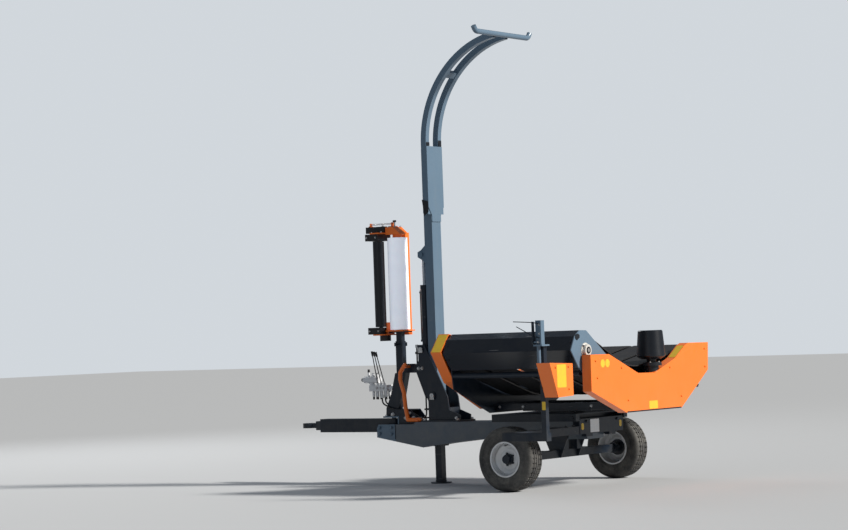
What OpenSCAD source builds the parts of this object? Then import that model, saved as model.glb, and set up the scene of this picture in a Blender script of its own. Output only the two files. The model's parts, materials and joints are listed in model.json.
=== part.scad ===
// Trailed bale wrapper: a two-wheeled chassis carries a table that tilts and turns, a belt cradle
// between two rollers, a curved loading arm, a film dispenser on its own stand and a film cutter.
// Millimetres. Sizes are in the machine's own frame: X = 0 over the axle, +X to the tow eye,
// +Y to the left, Z = 0 on the ground. Each sub-part is then moved to the middle of the footprint.

/* [Wheels] */
// Outside diameter of the tyres
tyre_od = 490; // [460:5:520]
// Width of the tyres
tyre_w = 175; // [155:5:190]
// Diameter over the rim flanges
rim_od = 284; // [270:2:300]
// Height of the rim flanges above the bead seat
flange_h = 15; // [10:1:20]
// Distance between the wheels' middle planes
track_w = 1520; // [1480:10:1600]
// Diameter of the stub axles
stub_d = 45; // [40:1:50]
// Diameter of the hub flanges
hub_d = 124; // [110:2:140]

/* [Chassis] */
// Height of the top of the main rails
rail_top = 498; // [490:1:502]
// Height of the underside of the main rails over the axle
rail_bottom = 357; // [330:1:380]
// Distance between the two rails
rail_gap = 120; // [110:2:130]
// Width of one rail
rail_w = 60; // [50:2:70]
// Side of the square axle beam
axle_beam = 60; // [50:2:70]
// Rear face of the rear cross-beam behind the axle
rear_x = 340; // [330:2:350]
// Front to back size of the rear cross-beam
rear_beam_w = 60; // [50:2:66]
// Half length of the rear cross-beam
rear_beam_half = 300; // [280:2:306]
// Thickness of the lugs on the rear cross-beam
lug_t = 12; // [8:1:14]

/* [Drawbar] */
// Place of the drawbar's upright pin
draw_pin_x = 1660; // [1650:5:1680]
// Diameter of the drawbar's upright pin
draw_pin_d = 40; // [30:2:50]
// Place of the tow eye
eye_x = 2550; // [2400:10:2700]
// Height of the middle of the tow eye
eye_z = 470; // [460:5:480]
// Radius of the hole of the tow eye
eye_bore_r = 25; // [20:1:30]
// Outside radius of the tow eye
eye_r = 60; // [50:1:70]
// Thickness of the tow eye
eye_t = 40; // [30:2:50]
// Width of the drawbar
draw_w = 100; // [90:2:104]
// Depth of the drawbar
draw_h = 110; // [100:2:110]

/* [Mast and loading arm] */
// Place of the arm's pivot along the machine
arm_x = 1205; // [1200:1:1210]
// Height of the arm's pivot
arm_z = 707; // [700:1:720]
// Diameter of the arm's pivot pin
arm_pin_d = 40; // [30:2:44]
// Front to back size of the arm's lower box
arm_depth = 80; // [70:2:84]
// Width of the arm's lower box
arm_width = 120; // [100:2:124]
// Wall of the arm's lower box
arm_wall = 8; // [5:1:10]
// Height of the top of the arm's lower box
arm_top = 2720; // [2600:10:2800]
// Height of the lower ends of the side tubes
side_low = 2170; // [2100:10:2250]
// Depth of the side tubes
side_depth = 50; // [40:1:60]
// Width of the side tubes
side_width = 45; // [35:1:50]
// Wall of the side tubes
side_wall = 4; // [3:1:6]
// Radius of the curve of the side tubes
bend_r = 820; // [700:10:900]
// Angle of the curve of the side tubes
bend_deg = 82.5; // [70:0.5:90]
// Length of the bar across the top
bar_len = 770; // [600:10:900]
// Diameter of the bar across the top
bar_d = 42; // [32:1:50]
// Thickness of the cheeks of the mast foot
cheek_t = 12; // [8:1:16]
// Distance between the cheeks of the mast foot
cheek_gap = 132; // [130:1:140]
// Outside diameter of the arm cylinder
arm_cyl_d = 64; // [54:1:70]
// Diameter of the arm cylinder's rod
arm_rod_d = 32; // [25:1:40]

/* [Tilt frame] */
// Height of the tilt pivot
tilt_z = 530; // [528:1:532]
// Diameter of the tilt pivot pins
tilt_pin_d = 30; // [24:1:34]
// Distance between the rails of the tilt frame
tilt_gap = 640; // [640:2:660]
// Side of the square rails of the tilt frame
tilt_rail = 50; // [46:1:50]
// Reach of the tilt frame in front of the axle
tilt_front = 430; // [400:5:450]
// Thickness of the deck of the tilt frame
deck_t = 8; // [6:1:10]
// Outside diameter of the tilt cylinder
tilt_cyl_d = 64; // [50:1:70]
// Diameter of the tilt cylinder's rod
tilt_rod_d = 35; // [28:1:40]

/* [Turntable] */
// Distance of the table's turning axis behind the axle
turn_x = 140; // [130:2:150]
// Outside radius of the slewing rings
ring_r = 300; // [280:2:306]
// Width of the slewing rings
ring_w = 40; // [30:2:50]
// Diameter of the turning pin
turn_pin_d = 60; // [50:2:70]

/* [Belt cradle] */
// Inside length between the two end plates
cradle_len = 1137; // [1100:1:1160]
// Thickness of the end plates
end_t = 8; // [6:1:10]
// Diameter of the belt rollers
roller_d = 250; // [230:2:256]
// Height of the left roller's axis
left_z = 1047; // [1030:1:1060]
// Distance of the left roller's axis from the middle
left_y = 801; // [780:1:810]
// Height of the right roller's axis
right_z = 920; // [910:1:930]
// Distance of the right roller's axis from the middle
right_y = 800; // [780:1:810]
// Thickness of the belts
belt_t = 8; // [5:1:10]
// Width of one belt
belt_w = 240; // [200:2:250]
// Number of belts
belt_count = 4; // [3:1:4]
// Radius of the seat that the belts make
seat_r = 600; // [560:5:640]
// Height of the lowest place of the seat
seat_z = 910; // [900:1:925]
// Height of the lowest place of the slack lower run
sag_z = 700; // [685:1:740]

/* [Covers] */
// Thickness of the sheet of the covers
sheet_t = 4; // [2:0.5:5]
// Depth of the rear cover
rear_cover_w = 75; // [66:1:80]
// Depth of the front cover
front_cover_w = 96; // [80:1:100]
// Height of the top edge of the covers in the dip
dip_z = 853; // [845:1:860]
// Height of the lower edge of the covers
low_z = 568; // [567:1:575]

/* [Cones] */
// Distance of the cones' axes from the turning axis
cone_reach = 605; // [600:1:610]
// Diameter of the cones at the wide lower end
cone_low_d = 222; // [200:2:230]
// Diameter of the cones at the upper end
cone_top_d = 187; // [150:1:195]
// Height of the upper end of the cones
cone_top = 1175; // [1140:1:1200]

/* [Dispenser] */
// Place of the film roll's axis along the machine
film_x = 1565; // [1560:1:1570]
// Diameter of the film roll
film_d = 165; // [120:1:170]
// Length of the film roll
film_len = 750; // [740:1:755]
// Inside diameter of the film roll's core
core_d = 76; // [74:0.5:78]
// Diameter of the stretch rollers
stretch_d = 80; // [60:1:84]
// Side of the sliding post
post_side = 50; // [46:1:50]
// Outside of the sleeve round the post
sleeve_side = 60; // [60:1:64]

/* [Cutter] */
// Distance of the cutter's post from the middle
cutter_y = 1242; // [1235:1:1250]
// Distance of the cutter's post behind the axle
cutter_x = 647; // [640:1:660]
// Side of the cutter's post
cutter_post = 40; // [36:1:44]

/* [Hidden] */

$fn = 64;
// Running clearance between a shaft and its bore, on the radius
run_c = 0.05;
// Gap between faces that pass each other
pass_c = 5;

dark = "#2a323c";
steel_blue = "#55677a";
orange = "#f08a3c";
black = "#16181b";
silver = "#c9ccd0";
zinc = "#a9acb0";
white = "#eef0f4";

axle_z = tyre_od / 2;
rail_in = rail_gap / 2;
rail_out = rail_in + rail_w;
rail_rear = -rear_x + rear_beam_w;
tilt_x = -rear_x + rear_beam_w / 2;
cheek_in = cheek_gap / 2;
cheek_out = cheek_in + cheek_t;
turn_at = -turn_x;
end_rear = turn_at - 577 - (cradle_len - 1137) / 2;
end_front = end_rear + cradle_len;
cone_y = 97;
cone_rear_x = turn_at - cone_reach - (cradle_len - 1137) / 2;
cone_front_x = turn_at + cone_reach + (cradle_len - 1137) / 2;

// Reaches of the whole machine, which give the middle of its footprint
front_reach = eye_x + eye_r;
rear_reach = cone_rear_x - cone_low_d / 2;
left_reach = cutter_y + 130;
right_reach = -right_y - 135;
frame_x = (front_reach + rear_reach) / 2;
frame_y = (left_reach + right_reach) / 2;

// Moves a piece from the machine's own frame to the middle of the footprint
module in_row() { translate([-frame_x, -frame_y, 0]) children(); }
// Box between two opposite corners
module block(lo, hi) { translate(lo) cube(hi - lo); }
// Outline in X and Z, drawn out along Y
module along_y(y0, len) { translate([0, y0 + len, 0]) rotate([90, 0, 0]) linear_extrude(len) children(); }
// Outline in Y and Z, drawn out along X
module along_x(x0, len) { translate([x0, 0, 0]) rotate([90, 0, 90]) linear_extrude(len) children(); }
// Round bars along each axis, from one end to the other
module bar_x(y, z, x0, x1, d) { translate([x0, y, z]) rotate([0, 90, 0]) cylinder(d = d, h = x1 - x0); }
module bar_y(x, z, y0, y1, d) { translate([x, y0, z]) rotate([-90, 0, 0]) cylinder(d = d, h = y1 - y0); }
module bar_z(x, y, z0, z1, d) { translate([x, y, z0]) cylinder(d = d, h = z1 - z0); }
// The same piece on both sides of the machine's middle plane
module both_sides() { children(); mirror([0, 1, 0]) children(); }
// Rectangle with round corners, made of two squares and four circles
module round_rect(w, h, r) {
    translate([r, 0]) square([w - 2 * r, h]);
    translate([0, r]) square([w, h - 2 * r]);
    for (x = [r, w - r], y = [r, h - r]) translate([x, y]) circle(r = r);
}

function unit(v) = v / norm(v);
function left_of(v) = [-v.y, v.x];
// Outline moved inwards by d, with its corners kept sharp; the outline runs anticlockwise
function inset(p, d) = [for (i = [0:len(p) - 1])
    let (a = p[(i + len(p) - 1) % len(p)], b = p[i], c = p[(i + 1) % len(p)],
         n = left_of(unit(b - a)), m = left_of(unit(c - b)))
    b + (n + m) * d / (1 + n * m)];
// Points along an arc
function arc(c, r, a0, a1, n) = [for (i = [0:n]) let (a = a0 + (a1 - a0) * i / n) c + r * [cos(a), sin(a)]];

bead_r = rim_od / 2 - flange_h;
rim_w = tyre_w - 31;
tyre_wall = 14;

module at_wheel(side) { translate([0, side * track_w / 2, axle_z]) rotate([-90 * side, 0, 0]) children(); }

// Carcass with a hollow inside, open towards the rim, and grooves round the tread
module tyre_shape() {
    groove_w = 9;
    groove_d = 8;
    rotate_extrude($fn = 96) difference() {
        translate([bead_r, -tyre_w / 2]) round_rect(axle_z - bead_r, tyre_w, 30, $fn = 32);
        translate([bead_r - flange_h, -tyre_w / 2 + tyre_wall])
            round_rect(axle_z - bead_r + flange_h - 2 * tyre_wall, tyre_w - 2 * tyre_wall, 24, $fn = 32);
        translate([bead_r - 1, rim_w / 2]) square([flange_h + 1.3, tyre_w]);
        translate([bead_r - 1, -rim_w / 2 - tyre_w]) square([flange_h + 1.3, tyre_w]);
        for (k = [-1.5:1:1.5]) translate([axle_z - groove_d, k * tyre_w / 5 - groove_w / 2])
            square([groove_d + 1, groove_w]);
    }
}

// Rim barrel with turned-up flanges and a dished disc
module rim_shape() {
    t = 4;
    edge = rim_w / 2;
    disc_y = 30;
    disc_in = 42;
    rotate_extrude($fn = 96) polygon([
        [bead_r - t, -edge], [bead_r - t, -edge - t], [bead_r + flange_h, -edge - t],
        [bead_r + flange_h, -edge], [bead_r, -edge], [bead_r, edge], [bead_r + flange_h, edge],
        [bead_r + flange_h, edge + t], [bead_r - t, edge + t], [bead_r - t, disc_y - 6],
        [bead_r - 22, disc_y + 6], [hub_d / 2 + 14, disc_y - 14], [disc_in, disc_y - 14],
        [disc_in, disc_y - 14 - t], [hub_d / 2 + 14 + t, disc_y - 14 - t],
        [bead_r - 22, disc_y + 6 - 2 * t], [bead_r - t, disc_y - 10 - 2 * t]
    ]);
}

// Hub with its flange behind the disc, a ring of studs and a grease cap
module hub_shape() {
    face = 12;
    stud_ring = 46;
    difference() {
        union() {
            cylinder(d = hub_d, h = face);
            translate([0, 0, -70]) cylinder(d = 84, h = 70);
            cylinder(d = 78, h = 44);
            translate([0, 0, 44]) cylinder(d = 62, h = 22);
        }
        translate([0, 0, -71]) cylinder(d = stub_d + 2 * run_c, h = 121);
    }
    for (k = [0:4]) rotate(k * 72) translate([stud_ring, 0, face + 4]) cylinder(d = 16, h = 14, $fn = 6);
}

module tyre_left() { in_row() color(black) at_wheel(1) tyre_shape(); }
module tyre_right() { in_row() color(black) at_wheel(-1) tyre_shape(); }
module rim_left() { in_row() color(silver) at_wheel(1) rim_shape(); }
module rim_right() { in_row() color(silver) at_wheel(-1) rim_shape(); }
module hub_left() { in_row() color(dark) at_wheel(1) hub_shape(); }
module hub_right() { in_row() color(dark) at_wheel(-1) hub_shape(); }

// Square beam between the wheels, with a stub at each end and hangers up to the rails
module axle_beam() {
    half = track_w / 2 - 112;
    h = axle_beam / 2;
    in_row() color(dark) {
        block([-h, -half, axle_z - h], [h, half, axle_z + h]);
        both_sides() {
            bar_y(0, axle_z, half - 30, track_w / 2 + 46, stub_d);
            block([-70, rail_in, axle_z + h], [70, rail_out, rail_bottom]);
            along_y(rail_out, 10) polygon([[-110, rail_bottom + 90], [-110, rail_bottom + 20],
                [-40, axle_z - h], [40, axle_z - h], [110, rail_bottom + 20], [110, rail_bottom + 90]]);
        }
    }
}

beam_break_x = 721;
belly_x = 1285;
belly_z = 293;
mast_front = 1317;
head_x = 1560;
head_top = 480;
head_front = 1750;
head_low = 375;
belly_slope = (head_low - belly_z) / (head_front - belly_x);

rail_pts = [
    [rail_rear, rail_bottom], [beam_break_x, rail_bottom], [1114, 317], [belly_x, belly_z],
    [head_x, belly_z + belly_slope * (head_x - belly_x)], [head_x, head_top],
    [mast_front + 60, head_top], [mast_front + 40, rail_top], [rail_rear, rail_top]
];

// Two parallel rails with a gap for the tilt cylinder, and cross pieces between them
module chassis_beam() {
    in_row() color(dark) {
        both_sides() along_y(rail_in, rail_w) polygon(rail_pts);
        block([rail_rear, -rail_in, rail_bottom], [rail_rear + 12, rail_in, rail_bottom + 60]);
        block([beam_break_x + 180, -rail_in, rail_bottom + 20], [beam_break_x + 192, rail_in, rail_top]);
        block([head_x - 100, -rail_in, head_top - 90], [head_x - 88, rail_in, head_top]);
        bar_y(tilt_base_x, tilt_base_z, -rail_in, rail_in, tilt_eye_pin);
    }
}

// Cross-beam behind, with a round-ended lug and a pivot pin at each end
module rear_beam() {
    low = 405;
    top = tilt_z - 10;
    in_row() color(dark) {
        block([-rear_x, -rear_beam_half, low], [rail_rear, rear_beam_half, top]);
        both_sides() {
            along_y(rear_beam_half, lug_t) {
                translate([-rear_x, low]) square([rear_beam_w, tilt_z - low - 15]);
                translate([tilt_x, tilt_z]) circle(r = 25);
                translate([tilt_x - 25, low]) square([50, tilt_z - low]);
            }
            bar_y(tilt_x, tilt_z, rear_beam_half, tilt_gap / 2 + tilt_rail + 8, tilt_pin_d);
            block([-rear_x + 8, rail_out, low - 22], [rail_rear - 8, rail_out + 90, low]);
        }
    }
}

head_t = 12;
head_plate = 407;
head_cap = 533;

// Fork round the drawbar's rear end: cheeks, a floor, a raised cap plate and the upright pin
module head_box() {
    in_row() color(steel_blue) {
        both_sides() along_y(rail_out - head_t, head_t) polygon([
            [head_x, belly_z + belly_slope * (head_x - belly_x)], [head_front, head_low],
            [head_front, head_top - 30], [head_front - 18, head_top], [head_x, head_top]]);
        block([head_x, -rail_out + head_t, head_plate - head_t], [head_front - 30, rail_out - head_t, head_plate]);
        block([head_x, -70, head_plate], [head_x + head_t, 70, head_cap]);
        along_y(-70, 140) polygon([[head_x, head_cap], [draw_pin_x + 60, head_cap],
            [draw_pin_x + 60, head_cap + head_t], [head_x, head_cap + head_t]]);
        bar_z(draw_pin_x, 0, head_plate - head_t - 14, head_cap + head_t, draw_pin_d);
    }
}

// Drawbar, round at its rear end about the upright pin
module drawbar() {
    lo = eye_z - draw_h / 2;
    in_row() color(dark) difference() {
        translate([0, 0, lo]) union() {
            linear_extrude(draw_h) {
                translate([draw_pin_x, 0]) circle(d = draw_w);
                translate([draw_pin_x, -draw_w / 2]) square([eye_x - 150 - draw_pin_x, draw_w]);
            }
            translate([eye_x - 150, 0, 18]) linear_extrude(draw_h - 36) polygon([[0, -draw_w / 2],
                [60, -34], [60, 34], [0, draw_w / 2]]);
        }
        bar_z(draw_pin_x, 0, lo - 1, lo + draw_h + 1, draw_pin_d + 2 * run_c);
    }
}

// Ring eye on its shank, with an upright hole for the towing pin
module tow_eye() {
    in_row() color(dark) difference() {
        union() {
            bar_z(eye_x, 0, eye_z - eye_t / 2, eye_z + eye_t / 2, 2 * eye_r);
            block([eye_x - 90, -30, eye_z - eye_t / 2], [eye_x - 30, 30, eye_z + eye_t / 2]);
        }
        bar_z(eye_x, 0, eye_z - eye_t, eye_z + eye_t, 2 * eye_bore_r);
    }
}

jack_side = 60;
jack_c = 0.5;
socket_low = 300;

// Square socket between the rails for the parking jack
module jack_socket() {
    h = jack_side / 2 + jack_c;
    in_row() color(dark) difference() {
        block([arm_x - 45, -rail_in, socket_low], [arm_x + 45, rail_in, rail_top]);
        block([arm_x - h, -h, socket_low - 1], [arm_x + h, h, rail_top + 1]);
    }
}

// Parking jack: a square leg on a round foot
module jack_leg() {
    h = jack_side / 2;
    in_row() color(dark) {
        bar_z(arm_x, 0, 0, 10, 170);
        bar_z(arm_x, 0, 10, 26, 90);
        difference() {
            block([arm_x - h, -h, 26], [arm_x + h, h, 405]);
            block([arm_x - h + 5, -h + 5, 60], [arm_x + h - 5, h - 5, 406]);
        }
    }
}

arm_cyl_x = arm_x + 101;
arm_cyl_z = 1084;
arm_lug_x = arm_x + 100;
arm_lug_z = 1850;
cyl_pin = 30;
foot_t = 12;

mast_pts = [
    [940, rail_top + foot_t], [1250, rail_top + foot_t], [1250, 665], [1360, 895], [1360, 965],
    [1335, 990], [1335, 1120], [1275, 1120], [1160, 900], [1060, 700], [1045, 590], [940, 550]
];

// Mast foot: two cheeks on a base plate, a rear web, a front web and the two pivot pins
module mast_foot() {
    h = jack_side / 2 + jack_c;
    in_row() color(dark) {
        difference() {
            block([930, -rail_out, rail_top], [1300, rail_out, rail_top + foot_t]);
            block([arm_x - h, -h, rail_top - 1], [arm_x + h, h, rail_top + foot_t + 1]);
        }
        both_sides() {
            along_y(cheek_in, cheek_t) polygon(mast_pts);
            bar_y(arm_x, arm_z, cheek_out, cheek_out + 10, arm_pin_d + 24);
            bar_y(arm_cyl_x, arm_cyl_z, cheek_out, cheek_out + 8, cyl_pin + 20);
        }
        block([1045, -cheek_in, rail_top + foot_t], [1055, cheek_in, 612]);
        block([1350, -cheek_in, 895], [1360, cheek_in, 965]);
        bar_y(arm_x, arm_z, -cheek_in - 1, cheek_in + 1, arm_pin_d);
        bar_y(arm_cyl_x, arm_cyl_z, -cheek_in - 1, cheek_in + 1, cyl_pin);
    }
}

arm_low = 650;
arm_rear = arm_x - arm_depth / 2;
lug_plate = 14;
eye_w = 36;
lug_gap = 2;

// Lower box of the arm with its pivot tube, the cylinder's lugs and the plate behind the side tubes
module arm_box() {
    d = arm_depth / 2;
    w = arm_width / 2;
    in_row() color(steel_blue) {
        difference() {
            union() {
                difference() {
                    block([arm_x - d, -w, arm_low], [arm_x + d, w, arm_top]);
                    block([arm_x - d + arm_wall, -w + arm_wall, arm_low - 1],
                        [arm_x + d - arm_wall, w - arm_wall, arm_top - arm_wall]);
                }
                bar_y(arm_x, arm_z, -w, w, arm_pin_d + 20);
            }
            bar_y(arm_x, arm_z, -w - 1, w + 1, arm_pin_d + 2 * run_c);
        }
        both_sides() {
            along_y(eye_w / 2 + lug_gap, lug_plate) polygon([
                [arm_x + d, arm_lug_z - 110], [arm_x + d + 40, arm_lug_z - 50], [arm_lug_x + 34, arm_lug_z - 20],
                [arm_lug_x + 34, arm_lug_z + 20], [arm_lug_x, arm_lug_z + 36], [arm_x + d, arm_lug_z + 90]]);
            bar_y(arm_lug_x, arm_lug_z, eye_w / 2 + lug_gap + lug_plate, eye_w / 2 + lug_gap + lug_plate + 10, 44);
        }
        along_x(arm_rear - 6, 6) polygon([
            [-w, side_low - 60], [w, side_low - 60], [w, side_low - 10], [w + side_width, side_low + 60],
            [w + side_width, arm_top], [-w - side_width, arm_top], [-w - side_width, side_low + 60],
            [-w, side_low - 10]]);
    }
}

bend_z = arm_top + 20;
bend_x = arm_rear + side_depth / 2;
bend_cx = bend_x - bend_r;
bar_x_at = bend_cx + bend_r * cos(bend_deg) - (bar_d / 2) * sin(bend_deg);
bar_z_at = bend_z + bend_r * sin(bend_deg) + (bar_d / 2) * cos(bend_deg);

// Section of a side tube, as a hollow rectangle about its own middle
module side_section() {
    difference() {
        square([side_depth, side_width], center = true);
        square([side_depth - 2 * side_wall, side_width - 2 * side_wall], center = true);
    }
}

// Curved side tubes: straight legs cut on the slant below, then one bend back over the table
module arm_tubes() {
    y = arm_width / 2 + side_width / 2;
    in_row() color(steel_blue) {
        both_sides() {
            difference() {
                translate([bend_x, y, side_low]) linear_extrude(bend_z - side_low) side_section();
                translate([arm_rear, y - side_width, side_low]) rotate([0, -52, 0])
                    translate([-200, 0, -300]) cube([500, 2 * side_width, 300]);
            }
            translate([bend_cx, y, bend_z]) rotate([90, 0, 0])
                rotate_extrude(angle = bend_deg, $fn = 180) translate([bend_r, 0]) side_section();
        }
        brace = 42;
        translate([bend_cx, 0, bend_z]) rotate([0, -brace, 0])
            block([bend_r - 20, -arm_width / 2, -25], [bend_r + 20, arm_width / 2, 25]);
    }
}

// Round bar across the arm's top, with both ends bent up
module arm_bar() {
    end_r = 45;
    end_deg = 55;
    half = bar_len / 2 - end_r;
    in_row() color(steel_blue) translate([bar_x_at, 0, bar_z_at]) {
        rotate([90, 0, 0]) cylinder(d = bar_d, h = 2 * half, center = true);
        both_sides() translate([0, half, end_r]) rotate([0, 90, 0]) {
            rotate_extrude(angle = end_deg, $fn = 96) translate([end_r, 0]) circle(d = bar_d);
            rotate(end_deg) translate([end_r, 0, 0]) rotate([-90, 0, 0]) cylinder(d = bar_d, h = 24);
        }
    }
}

arm_cyl_len = norm([arm_lug_x - arm_cyl_x, arm_lug_z - arm_cyl_z]);
arm_cyl_deg = atan2(arm_cyl_x - arm_lug_x, arm_lug_z - arm_cyl_z);
arm_barrel_len = 520;

// Cylinder barrel along +Z from its base eye at the origin, with a gland at the open end
module barrel_shape(d, rod, len, pin, eye) {
    difference() {
        union() {
            rotate([90, 0, 0]) cylinder(d = pin + 34, h = eye, center = true);
            translate([0, 0, pin / 2 + 8]) cylinder(d = d, h = len - pin / 2 - 8);
            translate([0, 0, len - 34]) cylinder(d = d + 8, h = 34);
        }
        rotate([90, 0, 0]) cylinder(d = pin + 2 * run_c, h = eye + 2, center = true);
        translate([0, 0, pin / 2 + 40]) cylinder(d = rod + 2 * run_c, h = len);
    }
    for (z = [70, len - 60]) translate([d / 2 - 5, 0, z]) rotate([0, 90, 0]) cylinder(d = 20, h = 21);
}

// Cylinder rod along +Z, with its eye at the height of the far pivot
module rod_shape(rod, start, len, eye) {
    translate([0, 0, start]) cylinder(d = rod, h = len - start);
    translate([0, 0, len]) rotate([90, 0, 0]) cylinder(d = 60, h = eye, center = true);
}

module arm_barrel() {
    in_row() color(dark) translate([arm_cyl_x, 0, arm_cyl_z]) rotate([0, -arm_cyl_deg, 0])
        barrel_shape(arm_cyl_d, arm_rod_d, arm_barrel_len, cyl_pin, 100);
}

module arm_rod() {
    in_row() color(zinc) translate([arm_cyl_x, 0, arm_cyl_z]) rotate([0, -arm_cyl_deg, 0])
        rod_shape(arm_rod_d, 140, arm_cyl_len, eye_w);
}

bar_low = 895;
bar_high = 965;
sleeve_x = film_x + 2;
sleeve_top = 1156;
sleeve_h = sleeve_side / 2;
post_c = 0.5;

leg_knee_z = 610;
leg_mid_z = 720;
leg_front_mid = sleeve_x + 94;
leg_front_top = sleeve_x + 45;
leg_rear_mid = sleeve_x - 19;
leg_rear_top = sleeve_x - 62;

// Stand: a tapered leg from the head box, a bar back to the mast and a sleeve for the post
module dispenser_stand() {
    foot_z = head_cap + head_t;
    in_row() color(dark) {
        along_y(-sleeve_h, sleeve_side) polygon([
            [head_x + 75, foot_z], [head_front - 32, foot_z], [head_front - 36, leg_knee_z],
            [leg_front_mid, leg_mid_z], [leg_front_top, bar_low], [leg_rear_top, bar_low],
            [leg_rear_mid, leg_mid_z], [head_x + 28, leg_knee_z]]);
        difference() {
            block([sleeve_x - sleeve_h, -sleeve_h, bar_low], [sleeve_x + sleeve_h, sleeve_h, sleeve_top]);
            block([sleeve_x - post_side / 2 - post_c, -post_side / 2 - post_c, bar_low + 5],
                [sleeve_x + post_side / 2 + post_c, post_side / 2 + post_c, sleeve_top + 1]);
        }
        block([1360, -sleeve_h, bar_low], [sleeve_x - sleeve_h, sleeve_h, bar_high]);
        both_sides() {
            along_y(rail_in, 8) polygon([[mast_front + 60, head_top], [head_x, head_top], [head_x, foot_z],
                [head_x + 90, foot_z], [head_x + 50, 600], [1440, 600], [mast_front + 60, 525]]);
            block([sleeve_x - sleeve_h - 8, sleeve_h, sleeve_top - 42], [sleeve_x + sleeve_h + 8, sleeve_h + 8,
                sleeve_top - 12]);
        }
        block([1440, -rail_in, 592], [head_x + 50, rail_in, 600]);
        bar_y(sleeve_x, sleeve_top - 27, sleeve_h + 8, sleeve_h + 46, 16);
    }
}

guard_d = 34;
guard_y = 92;
guard_path = [[1462, 962], [1512, 900], [1516, 842], [1481, 733], [1471, 619], [1450, rail_top + guard_d / 2 + 0.3],
    [1330, rail_top + guard_d / 2 + 0.3]];

// Bent tube along a path in the plane beside the stand
module bent_tube(path, y, d) {
    for (i = [0:len(path) - 2]) hull() {
        translate([path[i].x, y, path[i].y]) sphere(d = d, $fn = 20);
        translate([path[i + 1].x, y, path[i + 1].y]) sphere(d = d, $fn = 20);
    }
}

module guard_bar() {
    in_row() color(orange) {
        bent_tube(guard_path, guard_y, guard_d);
        bar_y(guard_path[0].x, bar_high - 20, sleeve_h, guard_y + 10, 20);
    }
}

// Front edge of the stand's leg at a height
function leg_front(z) = leg_front_mid - (z - leg_mid_z) * (leg_front_mid - leg_front_top) / (bar_low - leg_mid_z);
valve_z = 820;
bank_rear = leg_front_mid + 29;
bank_front = bank_rear + 182;
bank_half = 48;
lever_y = 37;
bank_low = valve_z - 70;
bank_top = valve_z - 20;
flow_rear = bank_rear + 107;
flow_front = flow_rear + 150;
flow_d = 56;
flow_z = valve_z + 24;

// Valve bank on an arm from the stand, with a flow divider ahead of it on a slanted link
module valve_block() {
    in_row() color(silver) {
        along_y(-16, 32) polygon([[leg_front(bank_low + 8), bank_low + 8], [bank_rear, bank_low + 8],
            [bank_rear, bank_top - 8], [leg_front(bank_top - 8), bank_top - 8]]);
        block([bank_rear, -bank_half, bank_low], [bank_front, bank_half, bank_top]);
        bar_x(0, (bank_low + bank_top) / 2, bank_front, bank_front + 22, 34);
        for (k = [0:3], side = [-1, 1])
            bar_z(bank_rear + 26 + 43 * k, 22 * side, bank_low - 34, bank_low, 22);
        for (k = [0:2]) bar_z(bank_rear + 32 + 34 * k, lever_y, bank_top, bank_top + 16, 20);
        bar_x(0, flow_z, flow_rear, flow_front, flow_d);
        bar_x(0, flow_z, flow_front, flow_front + 18, flow_d - 22);
        for (x = [flow_rear + 22, flow_rear + 66]) bar_z(x, 0, flow_z, flow_z + flow_d / 2 + 18, 24);
        bar_z(flow_rear + 110, 0, flow_z, flow_z + flow_d / 2 + 34, 18);
        along_y(-10, 20) polygon([[flow_front - 46, flow_z + 8], [flow_front - 18, flow_z - 4],
            [bank_front + 2, bank_top - 12], [bank_front - 40, bank_top - 12]]);
    }
}

lever_len = 262;
lever_lean = 17;

// Three levers that lean towards the drawbar, each with a grip
module valve_levers() {
    in_row() color(black) for (k = [0:2])
        translate([bank_rear + 32 + 34 * k, lever_y, bank_top + 17.2]) rotate([0, lever_lean - 3 * k, 0]) {
            cylinder(d = 8, h = lever_len);
            translate([0, 0, lever_len - 36]) cylinder(d = 16, h = 40);
        }
}

carrier_low = 405;
carrier_side = 60;
guard_low = 720;
guard_top = 970;
guard_x = cutter_x + 140;
guard_back = cutter_x + 25;

// Arm out from the rear beam, then back to the post that carries the cutter
module cutter_carrier() {
    h = cutter_post / 2;
    in_row() color(dark) {
        block([-rear_x, rear_beam_half + lug_t, carrier_low], [rail_rear, cutter_y + h, carrier_low + carrier_side]);
        block([-cutter_x - h, cutter_y - h - 20, carrier_low], [-rear_x, cutter_y + h, carrier_low + carrier_side]);
        block([-cutter_x - h, cutter_y - h, carrier_low + carrier_side], [-cutter_x + h, cutter_y + h, 1090]);
        for (b = [[60, 64], [180, 100]]) block([-guard_back, cutter_y - 170, guard_low + b[0]],
            [-guard_back + 8, cutter_y + b[1], guard_low + b[0] + 30]);
    }
}

// Orange guard: a five-sided shell, open to the front and below
module cutter_guard() {
    depth = guard_x - guard_back;
    pts = [[cutter_y - 170, guard_low + 6], [cutter_y + 30, guard_low], [cutter_y + 130, guard_top],
        [cutter_y - 170, guard_top - 12]];
    in_row() color(orange) difference() {
        along_x(-guard_x, depth) polygon(pts);
        along_x(-guard_x + sheet_t, depth) polygon(inset(pts, sheet_t));
    }
}

clamp_y = cutter_y + 52;
clamp_pin_z = 1120;

// Upright clamp plate with its rods, on top of the post
module cutter_clamp() {
    h = cutter_post / 2;
    in_row() color(steel_blue) {
        block([-cutter_x - 45, cutter_y - h, 1090], [-cutter_x + 30, clamp_y + 24, 1102]);
        block([-cutter_x - 40, clamp_y - 20, 1102], [-cutter_x + 30, clamp_y - 10, 1276]);
        block([-cutter_x - 40, clamp_y - 10, 1102], [-cutter_x - 30, clamp_y + 24, 1276]);
        bar_x(clamp_y + 6, clamp_pin_z, -cutter_x - 30, -cutter_x + 52, 14);
        bar_z(-cutter_x + 12, cutter_y + h + 14, 940, 1090, 28);
        block([-cutter_x - h, cutter_y + h, 930], [-cutter_x + 30, cutter_y + h + 30, 940]);
    }
}

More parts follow.
